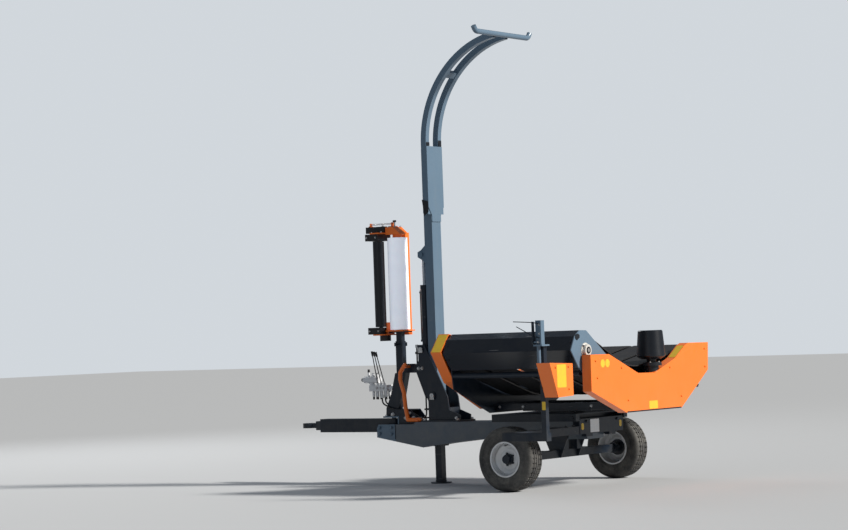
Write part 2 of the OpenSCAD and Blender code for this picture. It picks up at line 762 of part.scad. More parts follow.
// Hinged finger that presses the film against the clamp plate
module clamp_finger() {
    in_row() color(dark) difference() {
        union() {
            bar_x(clamp_y + 6, clamp_pin_z, -cutter_x + 34, -cutter_x + 48, 30);
            block([-cutter_x + 34, clamp_y - 2, clamp_pin_z], [-cutter_x + 48, clamp_y + 14, 1268]);
        }
        bar_x(clamp_y + 6, clamp_pin_z, -cutter_x + 20, -cutter_x + 60, 14 + 2 * run_c);
    }
}

tilt_base_x = 780;
tilt_base_z = 390;
tilt_lug_x = 180;
tilt_lug_z = 500;
tilt_eye_pin = 30;
frame_low = tilt_z - tilt_rail / 2;
frame_high = tilt_z + tilt_rail / 2;
deck_top = frame_high + deck_t;
ring_low_top = deck_top + 9;
ring_up = ring_low_top + pass_c;

// Tilt frame: two rails on the pivot pins, cross members, a deck, the lower ring and the turning pin
module tilt_frame() {
    in = tilt_gap / 2;
    out = in + tilt_rail;
    rear = tilt_x - 35;
    in_row() color(dark) {
        both_sides() difference() {
            block([rear, in, frame_low], [tilt_front, out, frame_high]);
            bar_y(tilt_x, tilt_z, in - 1, out + 1, tilt_pin_d + 2 * run_c);
        }
        for (x = [-250, tilt_front - 50]) block([x, -in, frame_low], [x + 50, in, frame_high]);
        difference() {
            block([rear, -out, frame_high], [tilt_front, out, deck_top]);
            for (y = [-200, 200]) translate([tilt_front - 130, y, frame_high - 1]) cylinder(d = 150, h = deck_t + 2);
        }
        difference() {
            bar_z(turn_at, 0, deck_top, ring_low_top, 2 * ring_r);
            bar_z(turn_at, 0, deck_top - 1, ring_low_top + 1, 2 * (ring_r - ring_w));
        }
        bar_z(turn_at, 0, frame_high - 30, frame_high, 120);
        bar_z(turn_at, 0, deck_top, ring_up + 60, turn_pin_d);
        both_sides() {
            along_y(eye_w / 2 + lug_gap, lug_plate) polygon([[tilt_lug_x - 70, frame_high], [tilt_lug_x - 28, tilt_lug_z - 22],
                [tilt_lug_x + 28, tilt_lug_z - 22], [tilt_lug_x + 70, frame_high]]);
            bar_y(tilt_lug_x, tilt_lug_z, eye_w / 2 + lug_gap + lug_plate, eye_w / 2 + lug_gap + lug_plate + 6, 36);
        }
    }
}

tilt_cyl_len = norm([tilt_base_x - tilt_lug_x, tilt_lug_z - tilt_base_z]);
tilt_cyl_deg = atan2(tilt_base_x - tilt_lug_x, tilt_lug_z - tilt_base_z);
tilt_barrel_len = 400;

module tilt_barrel() {
    in_row() color(dark) translate([tilt_base_x, 0, tilt_base_z]) rotate([0, -tilt_cyl_deg, 0])
        barrel_shape(tilt_cyl_d, tilt_rod_d, tilt_barrel_len, tilt_eye_pin, 90);
}

module tilt_rod() {
    in_row() color(zinc) translate([tilt_base_x, 0, tilt_base_z]) rotate([0, -tilt_cyl_deg, 0])
        rod_shape(tilt_rod_d, 75, tilt_cyl_len, eye_w);
}

roller_l = [left_y, left_z];
roller_r = [-right_y, right_z];
belt_c = 0.8;
wrap_r = roller_d / 2 + belt_c + belt_t / 2;
seat_c = [60, seat_z + seat_r];
sag_r = 800;
sag_c = [0, sag_z + sag_r];

// Angle of a vector
function heading(v) = atan2(v.y, v.x);
// Directions in which the belt's straight runs leave the rollers and meet the two curved runs
seat_l_deg = heading(seat_c - roller_l) - acos((wrap_r + seat_r) / norm(seat_c - roller_l));
seat_r_deg = heading(seat_c - roller_r) + acos((wrap_r + seat_r) / norm(seat_c - roller_r));
sag_l_deg = heading(roller_l - sag_c) - acos((sag_r - wrap_r) / norm(roller_l - sag_c));
sag_r_deg = heading(roller_r - sag_c) + acos((sag_r - wrap_r) / norm(roller_r - sag_c));

// Closed outline of the belt at a distance d outside its middle line
function belt_loop(d) = concat(
    arc(roller_l, wrap_r + d, sag_l_deg, seat_l_deg, 20),
    arc(seat_c, seat_r - d, seat_l_deg + 180, seat_r_deg + 180, 14),
    arc(roller_r, wrap_r + d, seat_r_deg, 360 + sag_r_deg, 20),
    arc(sag_c, sag_r + d, sag_r_deg, sag_l_deg, 8));

belt_step = (cradle_len - 32 - belt_w) / (belt_count - 1);

// Endless belts side by side over both rollers
module belts() {
    in_row() color(black) for (k = [0:belt_count - 1]) along_x(end_rear + 16 + k * belt_step, belt_w) difference() {
        polygon(belt_loop(belt_t / 2));
        polygon(belt_loop(-belt_t / 2));
    }
}

journal_d = 50;
bearing_t = 30;
bearing_d = 84;
flange_t = 5;

// Roller drum with a journal at each end
module roller_shape(c) {
    bar_x(c.x, c.y, end_rear + 15, end_front - 15, roller_d, $fn = 96);
    bar_x(c.x, c.y, end_rear - end_t - bearing_t - 4, end_front + end_t + bearing_t + 4, journal_d);
}

module roller_left() { in_row() color(black) roller_shape(roller_l); }
module roller_right() { in_row() color(black) roller_shape(roller_r); }

// Flanged bearing housings on the outer faces of the end plates
module roller_bearings() {
    in_row() color(zinc) for (c = [roller_l, roller_r], x = [end_rear - end_t - bearing_t, end_front + end_t]) {
        difference() {
            union() {
                bar_x(c.x, c.y, x, x + bearing_t, bearing_d);
                flange = x < turn_at ? x + bearing_t - flange_t : x;
                bar_x(c.x, c.y, flange, flange + flange_t, bearing_d + 26);
            }
            bar_x(c.x, c.y, x - 1, x + bearing_t + 1, journal_d + 2 * run_c);
        }
    }
}

base_low = ring_up + 9;
base_top = base_low + 8;
hollow_z = dip_z - 19;
guard_r = 148;

// Outline of the left horn above the left roller, from its outer foot round to its inner foot
horn_left = [roller_l + [91, -126], roller_l + [190, 5], roller_l + [133, 106], roller_l + [64, guard_r],
    roller_l + [-23, guard_r - 2]];
horn_right = [roller_r + [60, 131], roller_r + [-40, 132], roller_r + [-105, 95], roller_r + [-133, 20],
    roller_r + [-70, -120]];

// Outline of an end plate over its own foot
function end_pts(foot) = concat(foot, horn_left, [[519, 1013], [319, 950], [210, hollow_z], [-190, hollow_z],
    [-330, 940]], horn_right);
rear_foot = [[-400, 600], [385, 600]];
front_foot = [[-416, low_z + 9], [400, low_z + 9], [left_y + 69, 777]];

module end_plate(x, foot) {
    difference() {
        along_x(x, end_t) polygon(end_pts(foot));
        for (c = [roller_l, roller_r]) bar_x(c.x, c.y, x - 1, x + end_t + 1, journal_d + 12);
    }
}

module end_plate_rear() { in_row() color(steel_blue) end_plate(end_rear - end_t, rear_foot); }
module end_plate_front() { in_row() color(dark) end_plate(end_front, front_foot); }

// Table frame: the upper ring and hub, a base plate, two long members and the tie tube
module table_frame() {
    rail = 50;
    in_row() color(dark) {
        difference() {
            bar_z(turn_at, 0, ring_up, base_low, 2 * ring_r);
            bar_z(turn_at, 0, ring_up - 1, base_low + 1, 2 * (ring_r - ring_w));
        }
        difference() {
            union() {
                block([turn_at - 310, -320, base_low], [turn_at + 310, 320, base_top]);
                bar_z(turn_at, 0, ring_up, base_top + 34, turn_pin_d + 60);
            }
            bar_z(turn_at, 0, ring_up - 1, base_top + 40, turn_pin_d + 2 * run_c);
        }
        both_sides() block([end_rear, 260, base_top], [end_front, 260 + rail, base_top + rail]);
        for (x = [turn_at - 300, turn_at + 260]) block([x, -260, base_top], [x + 40, 260, base_top + rail]);
        bar_x(left_y + 61, left_z - 167, end_rear, end_front, 42);
    }
}

// Folded sheet over the left roller, from end plate to end plate
module side_guard() {
    t = sheet_t;
    outer = horn_left;
    inner = [roller_l + [-23, guard_r - 2 - t], roller_l + [62, guard_r - t], roller_l + [129.5, 103],
        roller_l + [185, 5], roller_l + [88, -123.5]];
    in_row() color(dark) along_x(end_rear, cradle_len) polygon(concat(outer, inner));
}

cover_pts = [
    [-416, low_z], [385, low_z], [left_y + 63, 745], [left_y + 61, left_z - 33], [left_y - 192, left_z - 36],
    [206, dip_z + 5], [-35, dip_z], [-347, 955], [-501, 1050], [-552, 1067], [-right_y - 62, right_z + 144],
    [-right_y - 46, right_z - 70]
];
front_low = low_z + 42;
front_pts = [
    [-416, front_low], [385, front_low], [745, 780], [850, 830], [left_y + 207, left_z + 16],
    [left_y + 94, left_z + 153], [left_y - 60, left_z + 120], [left_y - 110, left_z + 10], [609, 1000], [206, dip_z + 5], [-35, dip_z], [-347, 955],
    [-501, 1050], [-552, 1067], [-right_y - 62, right_z + 144], [-right_y - 46, right_z - 70]
];

base_d = 112;

// Spacers that carry a cover's rim on the end plate
module cover_pads(x0, x1, y, z) {
    both_sides() block([x0, 342, z], [x1, 382, z + 60]);
    block([x0, y, hollow_z - 10], [x1, y + 60, dip_z - 1]);
}

// Cover: an outline with a rim turned back to the end plate, open on that side, notched for the cone's base
module cover_rear() {
    x0 = end_rear - end_t - 10 - rear_cover_w;
    in_row() color(orange) {
        difference() {
            along_x(x0, rear_cover_w) polygon(cover_pts);
            along_x(x0 + sheet_t, rear_cover_w) polygon(inset(cover_pts, sheet_t));
            bar_z(cone_rear_x, -cone_y, dip_z - 8, dip_z + 200, base_d + 6);
            bar_x(left_y, left_z, x0 + sheet_t, end_rear, bearing_d + 12);
        }
        cover_pads(x0 + rear_cover_w - 12, end_rear - end_t, 90, low_z);
    }
}

module cover_front() {
    x1 = end_front + end_t + 5 + front_cover_w;
    in_row() color(orange) {
        difference() {
            along_x(x1 - front_cover_w, front_cover_w) polygon(front_pts);
            along_x(x1 - front_cover_w - sheet_t, front_cover_w) polygon(inset(front_pts, sheet_t));
            bar_z(cone_front_x, cone_y, dip_z - 8, dip_z + 200, base_d + 6);
        }
        cover_pads(end_front + end_t, x1 - front_cover_w + 12, -30, front_low);
    }
}

shelf_z = dip_z - 7;
base_top_z = 905;
spindle_d = 30;
cone_seat = 930;

// Upright base of each cone on a shelf from the end plate, with the spindle that carries the cone
module cone_base(x, y, dir) {
    plate = dir < 0 ? [end_rear - end_t - 70, end_rear] : [end_front, end_front + end_t + 70];
    block([plate[0], y - 55, hollow_z], [plate[1], y + 55, shelf_z]);
    bar_z(x, y, shelf_z, base_top_z, base_d);
    difference() {
        bar_z(x, y, base_top_z, cone_seat, 160);
        inner = dir < 0 ? end_rear : end_front - 100;
        block([inner, y - 90, base_top_z - 1], [inner + 100, y + 90, cone_seat + 1]);
    }
    bar_z(x, y, cone_seat, cone_top - 25, spindle_d);
}

module cone_bases() {
    in_row() color(black) {
        cone_base(cone_rear_x, -cone_y, -1);
        cone_base(cone_front_x, cone_y, 1);
    }
}

// Tapered roller with a chamfered lower rim, turning on its spindle
module cone_shape(x, y) {
    r0 = cone_low_d / 2;
    r1 = cone_top_d / 2;
    rs = spindle_d / 2 + run_c;
    low = cone_seat + pass_c;
    translate([x, y, 0]) rotate_extrude($fn = 96) polygon([
        [rs, low], [38, low], [38, 955], [r0 - 36, 955], [r0 - 4, 974], [r0, 980], [r1 + 1, cone_top - 8],
        [r1 - 4, cone_top - 1], [r1 - 12, cone_top], [0, cone_top], [0, cone_top - 20], [rs, cone_top - 20]]);
}

module cone_rear() { in_row() color(black) cone_shape(cone_rear_x, -cone_y); }
module cone_front() { in_row() color(black) cone_shape(cone_front_x, cone_y); }

unit_z = 1236;
film_z = unit_z + 14;
film_top = film_z + film_len;
top_plate = film_top + 36;
stretch_a = [1700, 90];
stretch_b = [1750, 5];
stretch_low = 1276;
stretch_high = film_top - 24;
spine = [1600, -150];
spine_side = 50;

// Square post that slides in the stand's sleeve
module dispenser_post() {
    h = post_side / 2;
    in_row() color(dark) {
        block([sleeve_x - h, -h, bar_low + 10], [sleeve_x + h, h, unit_z - 10]);
        block([sleeve_x - 70, -60, unit_z - 10], [sleeve_x + 70, 60, unit_z]);
    }
}

// Outline of the plate under the stretch rollers
low_plate = 1206;
block_rear = stretch_a.x - 32;
plate_pts = [[1575, -176], [1640, -176], [1800, -50], [1800, 60], [1740, 140], [1650, 140], [1640, 60], [1640, -40]];

foot_half = 85;

// Frame of the dispenser: a spine, plates above and below the rollers and the arm over the film roll
module dispenser_frame() {
    s = spine_side / 2;
    in_row() color(orange) {
        block([film_x - foot_half, -foot_half, unit_z], [film_x + foot_half + 2, foot_half, unit_z + 10]);
        block([film_x - 10, spine.y - s, unit_z], [film_x + 60, -foot_half, unit_z + 10]);
        translate([0, 0, low_plate]) linear_extrude(10) polygon(plate_pts);
        translate([0, 0, top_plate]) linear_extrude(10) polygon(plate_pts);
        block([block_rear - 13, -40, low_plate + 10], [block_rear - 5, 60, low_plate + 106]);
        block([block_rear - 28, -40, unit_z], [block_rear - 13, 60, unit_z + 10]);
        block([spine.x - s, spine.y - s, low_plate + 10], [spine.x + s, spine.y + s, top_plate]);
        along_y(-60, 120) polygon([[1640, top_plate], [1640, top_plate + 54], [1560, top_plate + 54],
            [1545, top_plate + 40], [1500, top_plate], [1500, top_plate - 8], [1640, top_plate - 8]]);
        bar_z(film_x, 0, unit_z + 10, unit_z + 64, core_d - 2 * run_c);
        bar_z(film_x, 0, film_top - 50, top_plate - 8, core_d - 2 * run_c);
    }
}

journal = 20;

// Housings at the ends of the stretch rollers, and the bar over them
module stretch_blocks() {
    in_row() color(black) {
        for (z = [[low_plate + 10, stretch_low - 5], [stretch_high + 5, top_plate]]) difference() {
            block([block_rear, stretch_b.y - 50, z[0]], [stretch_b.x + 46, stretch_a.y + 42, z[1]]);
            for (p = [stretch_a, stretch_b]) bar_z(p.x, p.y, z[0] - 1, z[1] + 1, journal + 2 * run_c);
        }
        block([block_rear - 18, 20, top_plate + 10], [stretch_b.x + 90, 62, top_plate + 62]);
        bar_z(block_rear + 22, 40, low_plate - 46, low_plate, 90);
    }
}

// Film roll on its core
module film_roll() {
    in_row() color(white) difference() {
        bar_z(film_x, 0, film_z, film_top, film_d, $fn = 96);
        bar_z(film_x, 0, film_z - 1, film_top + 1, core_d);
    }
}

module stretch_roller(p) {
    bar_z(p.x, p.y, stretch_low, stretch_high, stretch_d);
    bar_z(p.x, p.y, 1220, top_plate - 4, journal);
}

module stretch_roller_a() { in_row() color(black) stretch_roller(stretch_a); }
module stretch_roller_b() { in_row() color(black) stretch_roller(stretch_b); }

tyre_left();
tyre_right();
rim_left();
rim_right();
hub_left();
hub_right();
axle_beam();
chassis_beam();
rear_beam();
head_box();
drawbar();
tow_eye();
jack_socket();
jack_leg();
mast_foot();
dispenser_stand();
guard_bar();
valve_block();
valve_levers();
cutter_carrier();
cutter_guard();
cutter_clamp();
clamp_finger();
tilt_frame();
tilt_barrel();
tilt_rod();
table_frame();
end_plate_rear();
end_plate_front();
side_guard();
cover_rear();
cover_front();
roller_bearings();
roller_left();
roller_right();
belts();
cone_bases();
cone_rear();
cone_front();
arm_box();
arm_tubes();
arm_bar();
arm_barrel();
arm_rod();
dispenser_post();
dispenser_frame();
stretch_blocks();
film_roll();
stretch_roller_a();
stretch_roller_b();
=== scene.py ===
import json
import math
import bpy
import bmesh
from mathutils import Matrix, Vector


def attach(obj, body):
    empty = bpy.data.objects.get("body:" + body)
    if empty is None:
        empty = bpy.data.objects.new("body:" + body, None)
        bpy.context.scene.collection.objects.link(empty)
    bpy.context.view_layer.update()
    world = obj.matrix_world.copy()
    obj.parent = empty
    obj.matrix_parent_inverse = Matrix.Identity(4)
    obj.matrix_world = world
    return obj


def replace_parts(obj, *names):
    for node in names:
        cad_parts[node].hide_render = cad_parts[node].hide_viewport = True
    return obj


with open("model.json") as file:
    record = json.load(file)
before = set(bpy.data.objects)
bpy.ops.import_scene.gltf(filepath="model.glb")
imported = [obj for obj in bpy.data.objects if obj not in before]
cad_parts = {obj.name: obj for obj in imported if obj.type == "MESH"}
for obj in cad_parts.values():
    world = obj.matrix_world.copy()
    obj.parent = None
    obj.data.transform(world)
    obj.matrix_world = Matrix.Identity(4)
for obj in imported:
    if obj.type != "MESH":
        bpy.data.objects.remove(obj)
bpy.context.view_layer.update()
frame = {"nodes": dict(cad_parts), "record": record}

# %% [markdown]
# # A trailed bale wrapper
# The frame, table, arm and dispenser come in as fixed solids, and stay where they are. This lesson
# gives them their paint, rubber and film, and adds what is too small for the solids: tread, bolts,
# clips, blank stickers and a reflector.

NODES = frame["nodes"]

# %% [markdown]
# ## From the machine's own frame
# Places are measured from the axle: X = 0 over the wheels, Y = 0 on the middle plane. The solids
# are centred on the footprint instead, so one helper moves a measured place across.

# %% Where a measured place lies
ACROSS = Vector((0.877, 0.2185, 0.0))


def at(x, y, z):
    """A place measured in metres from the axle's middle on the ground."""
    return Vector((x, y, z)) - ACROSS


# %% [markdown]
# ## The camera
# The camera stands some nineteen metres off the left rear quarter, at the height of the belts, with
# a long lens that keeps the upright arm straight. In the photograph the machine is nose-down by two
# and a half degrees. It is level here, so the camera is rolled instead. The standard view of
# colours is used, because the usual filmic one washes out sunlit orange paint.

# %% Camera at the photograph's angle
IMAGE_W = 848
FOCAL_PX = 2370.0
SENSOR_MM = 36.0
CAMERA_PLACE = (-10.1016, 15.4865, 1.2103)
upward = Vector((-0.04362, 0.0, 0.99905))
looking = (Vector((0.59285, -0.80489, 0.02588)) + 0.003 * upward).normalized()
rightward = looking.cross(upward).normalized()
upward = rightward.cross(looking).normalized()
camera_data = bpy.data.cameras.new("camera")
camera_data.sensor_width = SENSOR_MM
camera_data.lens = SENSOR_MM * FOCAL_PX / IMAGE_W
camera_data.clip_end = 200.0
camera = bpy.data.objects.new("camera", camera_data)
bpy.context.scene.collection.objects.link(camera)
turn = Matrix((rightward, upward, -looking)).transposed().to_4x4()
camera.matrix_world = Matrix.Translation(at(*CAMERA_PLACE)) @ turn
bpy.context.scene.camera = camera
bpy.context.scene.view_settings.view_transform = "Standard"
print("lens", round(camera_data.lens, 1), "mm at", [round(v, 2) for v in camera.location])

# %% [markdown]
# ## Floor and light
# A pale floor and a pale sky stand in for the surroundings. The sun has the photograph's direction,
# high and from behind the machine, so that what faces rearwards is bright and the flank that faces
# the camera lies in shade. Two big soft lamps fill that shade a little. The sky is drawn paler than
# it shines, so the background is bright while the shade stays deep.

# %% Floor, world and lamps
def flat_finish(name, colour, roughness):
    """A plain finish for things that are not part of the machine."""
    material = bpy.data.materials.new(name)
    material.use_nodes = True
    shader = material.node_tree.nodes["Principled BSDF"]
    shader.inputs["Base Color"].default_value = (*colour, 1)
    shader.inputs["Roughness"].default_value = roughness
    return material


FLOOR_HALF = 60.0
floor_mesh = bpy.data.meshes.new("floor")
bm = bmesh.new()
bmesh.ops.create_grid(bm, x_segments=1, y_segments=1, size=FLOOR_HALF)
bm.to_mesh(floor_mesh)
bm.free()
floor = bpy.data.objects.new("floor", floor_mesh)
floor_mesh.materials.append(flat_finish("floor_pale", (0.46, 0.47, 0.48), 0.85))
bpy.context.scene.collection.objects.link(floor)

world = bpy.data.worlds.new("pale_sky")
bpy.context.scene.world = world
world.use_nodes = True
sky = world.node_tree
light, seen = sky.nodes["Background"], sky.nodes.new("ShaderNodeBackground")
light.inputs["Color"].default_value = (0.72, 0.84, 1.0, 1)
light.inputs["Strength"].default_value = 0.19
seen.inputs["Color"].default_value = (0.80, 0.85, 0.90, 1)
seen.inputs["Strength"].default_value = 0.80
path, either = sky.nodes.new("ShaderNodeLightPath"), sky.nodes.new("ShaderNodeMixShader")
for start, end in ((path.outputs["Is Camera Ray"], either.inputs[0]),
                   (light.outputs[0], either.inputs[1]),
                   (seen.outputs[0], either.inputs[2]),
                   (either.outputs[0], sky.nodes["World Output"].inputs[0])):
    sky.links.new(start, end)

LIT_POINT = Vector((0.0, 0.0, 1.2))


def lamp(name, kind, place, power, colour):
    """A lamp that faces the middle of the machine. A sun shines alike everywhere."""
    data = bpy.data.lights.new(name, kind)
    data.energy = power
    data.color = colour
    piece = bpy.data.objects.new(name, data)
    bpy.context.scene.collection.objects.link(piece)
    piece.location = place
    piece.rotation_euler = (LIT_POINT - Vector(place)).to_track_quat("-Z", "Y").to_euler()
    return data


lamp("sun_behind", "SUN", (-10.5, -2.7, 7.8), 5.6, (1.0, 0.96, 0.90)).angle = math.radians(7)
lamp("sky_side", "AREA", (-2.0, 11.0, 7.0), 120, (0.86, 0.93, 1.0)).size = 7.0
lamp("front_side", "AREA", (9.0, -4.0, 7.0), 300, (0.96, 0.98, 1.0)).size = 5.0
print("lamps face", tuple(LIT_POINT))

# %% [markdown]
# ## Maths on sockets
# A finish is mostly small sums: noise times a strength, one minus a mask. Writing them as Python
# expressions is easier to read than a web of nodes, so a wrapped socket turns each sign into one
# Math node. Anything else comes from one method that sets a node up and links it.

# %% A wrapped socket and a finish
class Value:
    """A shader socket that can be used in sums."""

    def __init__(self, tree, socket):
        self.tree, self.socket = tree, socket

    def _sum(self, operation, first, second, clamp=False):
        """One Math node."""
        node = self.tree.nodes.new("ShaderNodeMath")
        node.operation, node.use_clamp = operation, clamp
        for socket, value in zip(node.inputs, (first, second)):
            plug(self.tree, socket, value)
        return Value(self.tree, node.outputs[0])

    def __add__(self, other): return self._sum("ADD", self, other)
    def __radd__(self, other): return self._sum("ADD", other, self)
    def __sub__(self, other): return self._sum("SUBTRACT", self, other)
    def __rsub__(self, other): return self._sum("SUBTRACT", other, self)
    def __mul__(self, other): return self._sum("MULTIPLY", self, other)
    def held(self): return self._sum("MULTIPLY", self, 1.0, clamp=True)


def plug(tree, socket, value):
    """Links a value to a socket, or sets the socket to a number, a vector or a colour."""
    if isinstance(value, Value):
        tree.links.new(value.socket, socket)
    else:
        socket.default_value = (*value, 1) if socket.type == "RGBA" else value


finishes = {}


class Finish:
    """A material and the tools to build it. It lists itself in finishes."""

    def __init__(self, name):
        material = finishes[name] = bpy.data.materials.new(name)
        material.use_nodes = True
        self.tree = material.node_tree
        self.shader = self.tree.nodes["Principled BSDF"]

    def node(self, kind, settings=None, **sockets):
        """Any node: its type, its settings first, then its sockets by name or place."""
        made = self.tree.nodes.new(kind)
        for key, value in (settings or {}).items():
            setattr(made, key, value)
        for key, value in sockets.items():
            numbered = key[0] == "_"
            plug(self.tree, made.inputs[int(key[1:]) if numbered else key.replace("_", " ")], value)
        return made

    def out(self, made, name=0): return Value(self.tree, made.outputs[name])
    def place(self): return self.out(self.node("ShaderNodeTexCoord"), "Object")
    def facing(self): return self.out(self.node("ShaderNodeNewGeometry"), "Normal")

    def part(self, vector, axis):
        return self.out(self.node("ShaderNodeSeparateXYZ", _0=vector), axis)

    def scaled(self, vector, by):
        return self.out(self.node("ShaderNodeMapping", Vector=vector, Scale=by))

    def noise(self, scale, detail=4.0, rough=0.55, where=None):
        made = self.node("ShaderNodeTexNoise", Scale=scale, Detail=detail, Roughness=rough,
                         Vector=where or self.place())
        return self.out(made, "Fac")

    def range(self, value, low, high, to_low=0.0, to_high=1.0):
        made = self.node("ShaderNodeMapRange", {"clamp": True}, Value=value, _1=low, _2=high,
                         _3=to_low, _4=to_high)
        return self.out(made)

    def blend(self, factor, first, second):
        """One colour over another."""
        made = self.node("ShaderNodeMix", {"data_type": "RGBA"}, _0=factor, _6=first, _7=second)
        return self.out(made, 2)

    def bump(self, height, strength, distance):
        return self.out(self.node("ShaderNodeBump", Strength=strength, Distance=distance,
                                  Height=height))

    def set(self, **sockets):
        """The shader's own sockets."""
        for key, value in sockets.items():
            plug(self.tree, self.shader.inputs[key.replace("_", " ")], value)


print("socket maths ready")

# %% [markdown]
# ## Gloss paint on steel
# All of the steelwork is sprayed gloss paint that has been through a season of work. Three things
# tell the eye it is paint and not plastic: a faint orange-peel ripple, dust that settles on what
# faces up and on what is near the ground, and small chips and scratches that show a duller tone.
# One recipe serves them all, and a table gives each paint its own tone, dust and shine. The dark
# paints shine less, because the pale floor that they mirror here is dark ground outdoors.

# %% One recipe for paint
def paint(name, colour, faded, dust_low, dust=0.5, rough=0.28, peel=0.25, shine=0.5):
    """Sprayed paint: colour drift, dust by height and by facing, scratches and orange peel."""
    f = Finish(name)
    where = f.place()
    drift = f.range(f.noise(2.2, 5.0), 0.35, 0.7)
    height = f.part(where, 2)
    low = f.range(height, 0.1, dust_low, 1.0, 0.12)
    up = f.range(f.part(f.facing(), 2), -0.2, 0.95)
    cloud = f.range(f.noise(9.0, 8.0, 0.68), 0.38, 0.72)
    dirt = ((low * 0.7 + up * 0.55) * cloud * dust).held()
    streak = f.noise(26.0, 3.0, 0.7, f.scaled(where, (1.0, 1.0, 0.09)))
    run = f.range(streak, 0.56, 0.74) * 0.22 * dust
    scratch = f.noise(60.0, 2.0, 0.5, f.scaled(where, (0.06, 1.0, 1.6)))
    nick = f.range(scratch, 0.71, 0.735) * f.range(f.noise(5.0, 2.0), 0.5, 0.62)
    clean = f.blend(drift * 0.5, colour, faded)
    dusty = f.blend((dirt + run).held(), clean, DIRT)
    worn = f.blend(nick * 0.45, dusty, BARE)
    fine = f.noise(420.0, 2.0, 0.5)
    f.set(Base_Color=worn,
          Roughness=(rough + dirt * 0.5 + f.noise(34.0, 4.0) * 0.08 + nick * 0.2).held(),
          Coat_Weight=(shine * 0.5 - dirt * 0.2).held(), Coat_Roughness=0.12,
          Specular_IOR_Level=shine,
          Normal=f.bump(fine - nick * 0.6, peel, 0.0006))


DIRT, BARE = (0.34, 0.29, 0.20), (0.30, 0.29, 0.28)
PAINTS = {
    "dark_frame_paint": dict(colour=(0.007, 0.013, 0.023), faded=(0.012, 0.020, 0.034),
                             dust_low=0.9, dust=0.12, shine=0.25),
    "steel_blue_paint": dict(colour=(0.095, 0.150, 0.210), faded=(0.120, 0.178, 0.240),
                             dust_low=1.2, dust=0.12, shine=0.3),
    "orange_paint": dict(colour=(0.80, 0.158, 0.011), faded=(0.85, 0.190, 0.018),
                         dust_low=0.8, dust=0.13, rough=0.38),
    "rim_silver": dict(colour=(0.60, 0.62, 0.65), faded=(0.70, 0.71, 0.72),
                       dust_low=0.5, dust=0.55, rough=0.34),
    "gloss_black_paint": dict(colour=(0.004, 0.006, 0.011), faded=(0.007, 0.010, 0.017),
                              dust_low=0.9, dust=0.06, rough=0.08, peel=0.08),
    # The arm's blue-grey, darkened for the side beams: painted shade for the table's shadow on
    # them.
    "chassis_grey_paint": dict(colour=(0.052, 0.074, 0.100), faded=(0.068, 0.092, 0.120),
                               dust_low=0.9, dust=0.24),
    "housing_white": dict(colour=(0.55, 0.55, 0.53), faded=(0.46, 0.43, 0.38),
                          dust_low=1.4, dust=0.5, rough=0.40),
}
for name, look in PAINTS.items():
    paint(name, **look)
print("paints", sorted(PAINTS))

# %% [markdown]
# ## Rubber, belts and tyres
# Rubber is never black: it is a very dark grey with a bloom of dust. The tyres take most dust, on
# the tread and in the grooves of the wall. The belts are woven cloth under rubber, so a fine
# criss-cross shows through, and the cones are smooth moulded rubber with a soft shine. Hard black
# plastic comes from the same recipe.

# %% Rubber and plastic
def rubber(name, colour, dust_colour, dust, rough, weave=0.0, low=1.4):
    """Rubber with a dust bloom; weave gives the height of a cloth pattern."""
    f = Finish(name)
    where = f.place()
    cloud = f.range(f.noise(12.0, 8.0, 0.7), 0.36, 0.70)
    up = f.range(f.part(f.facing(), 2), -0.5, 1.0, 0.25, 1.0)
    down = f.range(f.part(where, 2), 0.0, low, 1.0, 0.35)
    bloom = (cloud * up * down * dust).held()
    speck = f.range(f.noise(210.0, 3.0), 0.60, 0.70) * dust * 0.35
    height = f.noise(300.0, 3.0, 0.6)
    if weave:
        for thread in ((17.5, 0.0, 0.0), (0.0, 17.5, 17.5)):
            wave = f.node("ShaderNodeTexWave",
                          {"wave_type": "BANDS", "bands_direction": "DIAGONAL"},
                          Vector=f.scaled(where, thread), Scale=4.0, Distortion=0.2)
            height = height + f.out(wave, "Fac") * weave
    f.set(Base_Color=f.blend((bloom + speck).held(), colour, dust_colour),
          Roughness=(rough + bloom * 0.3).held(), Specular_IOR_Level=0.42,
          Normal=f.bump(height, 0.28, 0.0010))


RUBBERS = {
    "tyre_rubber": dict(colour=(0.022, 0.022, 0.024), dust_colour=(0.26, 0.25, 0.22),
                        dust=0.85, rough=0.70, low=0.8),
    "black_rubber": dict(colour=(0.006, 0.008, 0.012), dust_colour=(0.10, 0.10, 0.10),
                         dust=0.12, rough=0.30),
    "belt_rubber": dict(colour=(0.007, 0.007, 0.009), dust_colour=(0.09, 0.085, 0.07),
                        dust=0.30, rough=0.60, weave=0.5),
    "black_plastic": dict(colour=(0.008, 0.008, 0.010), dust_colour=(0.12, 0.11, 0.10),
                          dust=0.22, rough=0.42),
}
for name, look in RUBBERS.items():
    rubber(name, **look)
print("rubbers", sorted(RUBBERS))

# %% [markdown]
# ## Film and bare metal
# The roll of stretch film is hundreds of layers of clear white plastic: milky, very smooth, with
# fine rings where the layers' edges lie and soft bands where it was wound tighter. It passes some
# sun through, and a painted glow stands for that and also brightens the roll's shaded side.
# The cylinder rods are hard chrome. Bolts and pins are zinc plated, so they are duller, with a
# little rust.

# %% Film, zinc and chrome
f = Finish("white_film")
where = f.place()
bands = f.noise(5.0, 4.0, 0.6, f.scaled(where, (0.15, 0.15, 4.0)))
rings = f.noise(60.0, 2.0, 0.5, f.scaled(where, (0.05, 0.05, 6.0)))
# The emission is a painted glow: it brightens the whole roll, its shaded side too.
f.set(Base_Color=f.blend(f.range(bands, 0.35, 0.7), (0.86, 0.90, 0.97), (0.95, 0.97, 1.0)),
      Roughness=(0.14 + f.range(rings, 0.4, 0.7) * 0.16).held(), Coat_Weight=0.4,
      Emission_Color=(0.80, 0.86, 1.0), Emission_Strength=0.34, Subsurface_Weight=0.08,
      Subsurface_Scale=0.01, Normal=f.bump(rings + bands * 0.8, 0.22, 0.002))

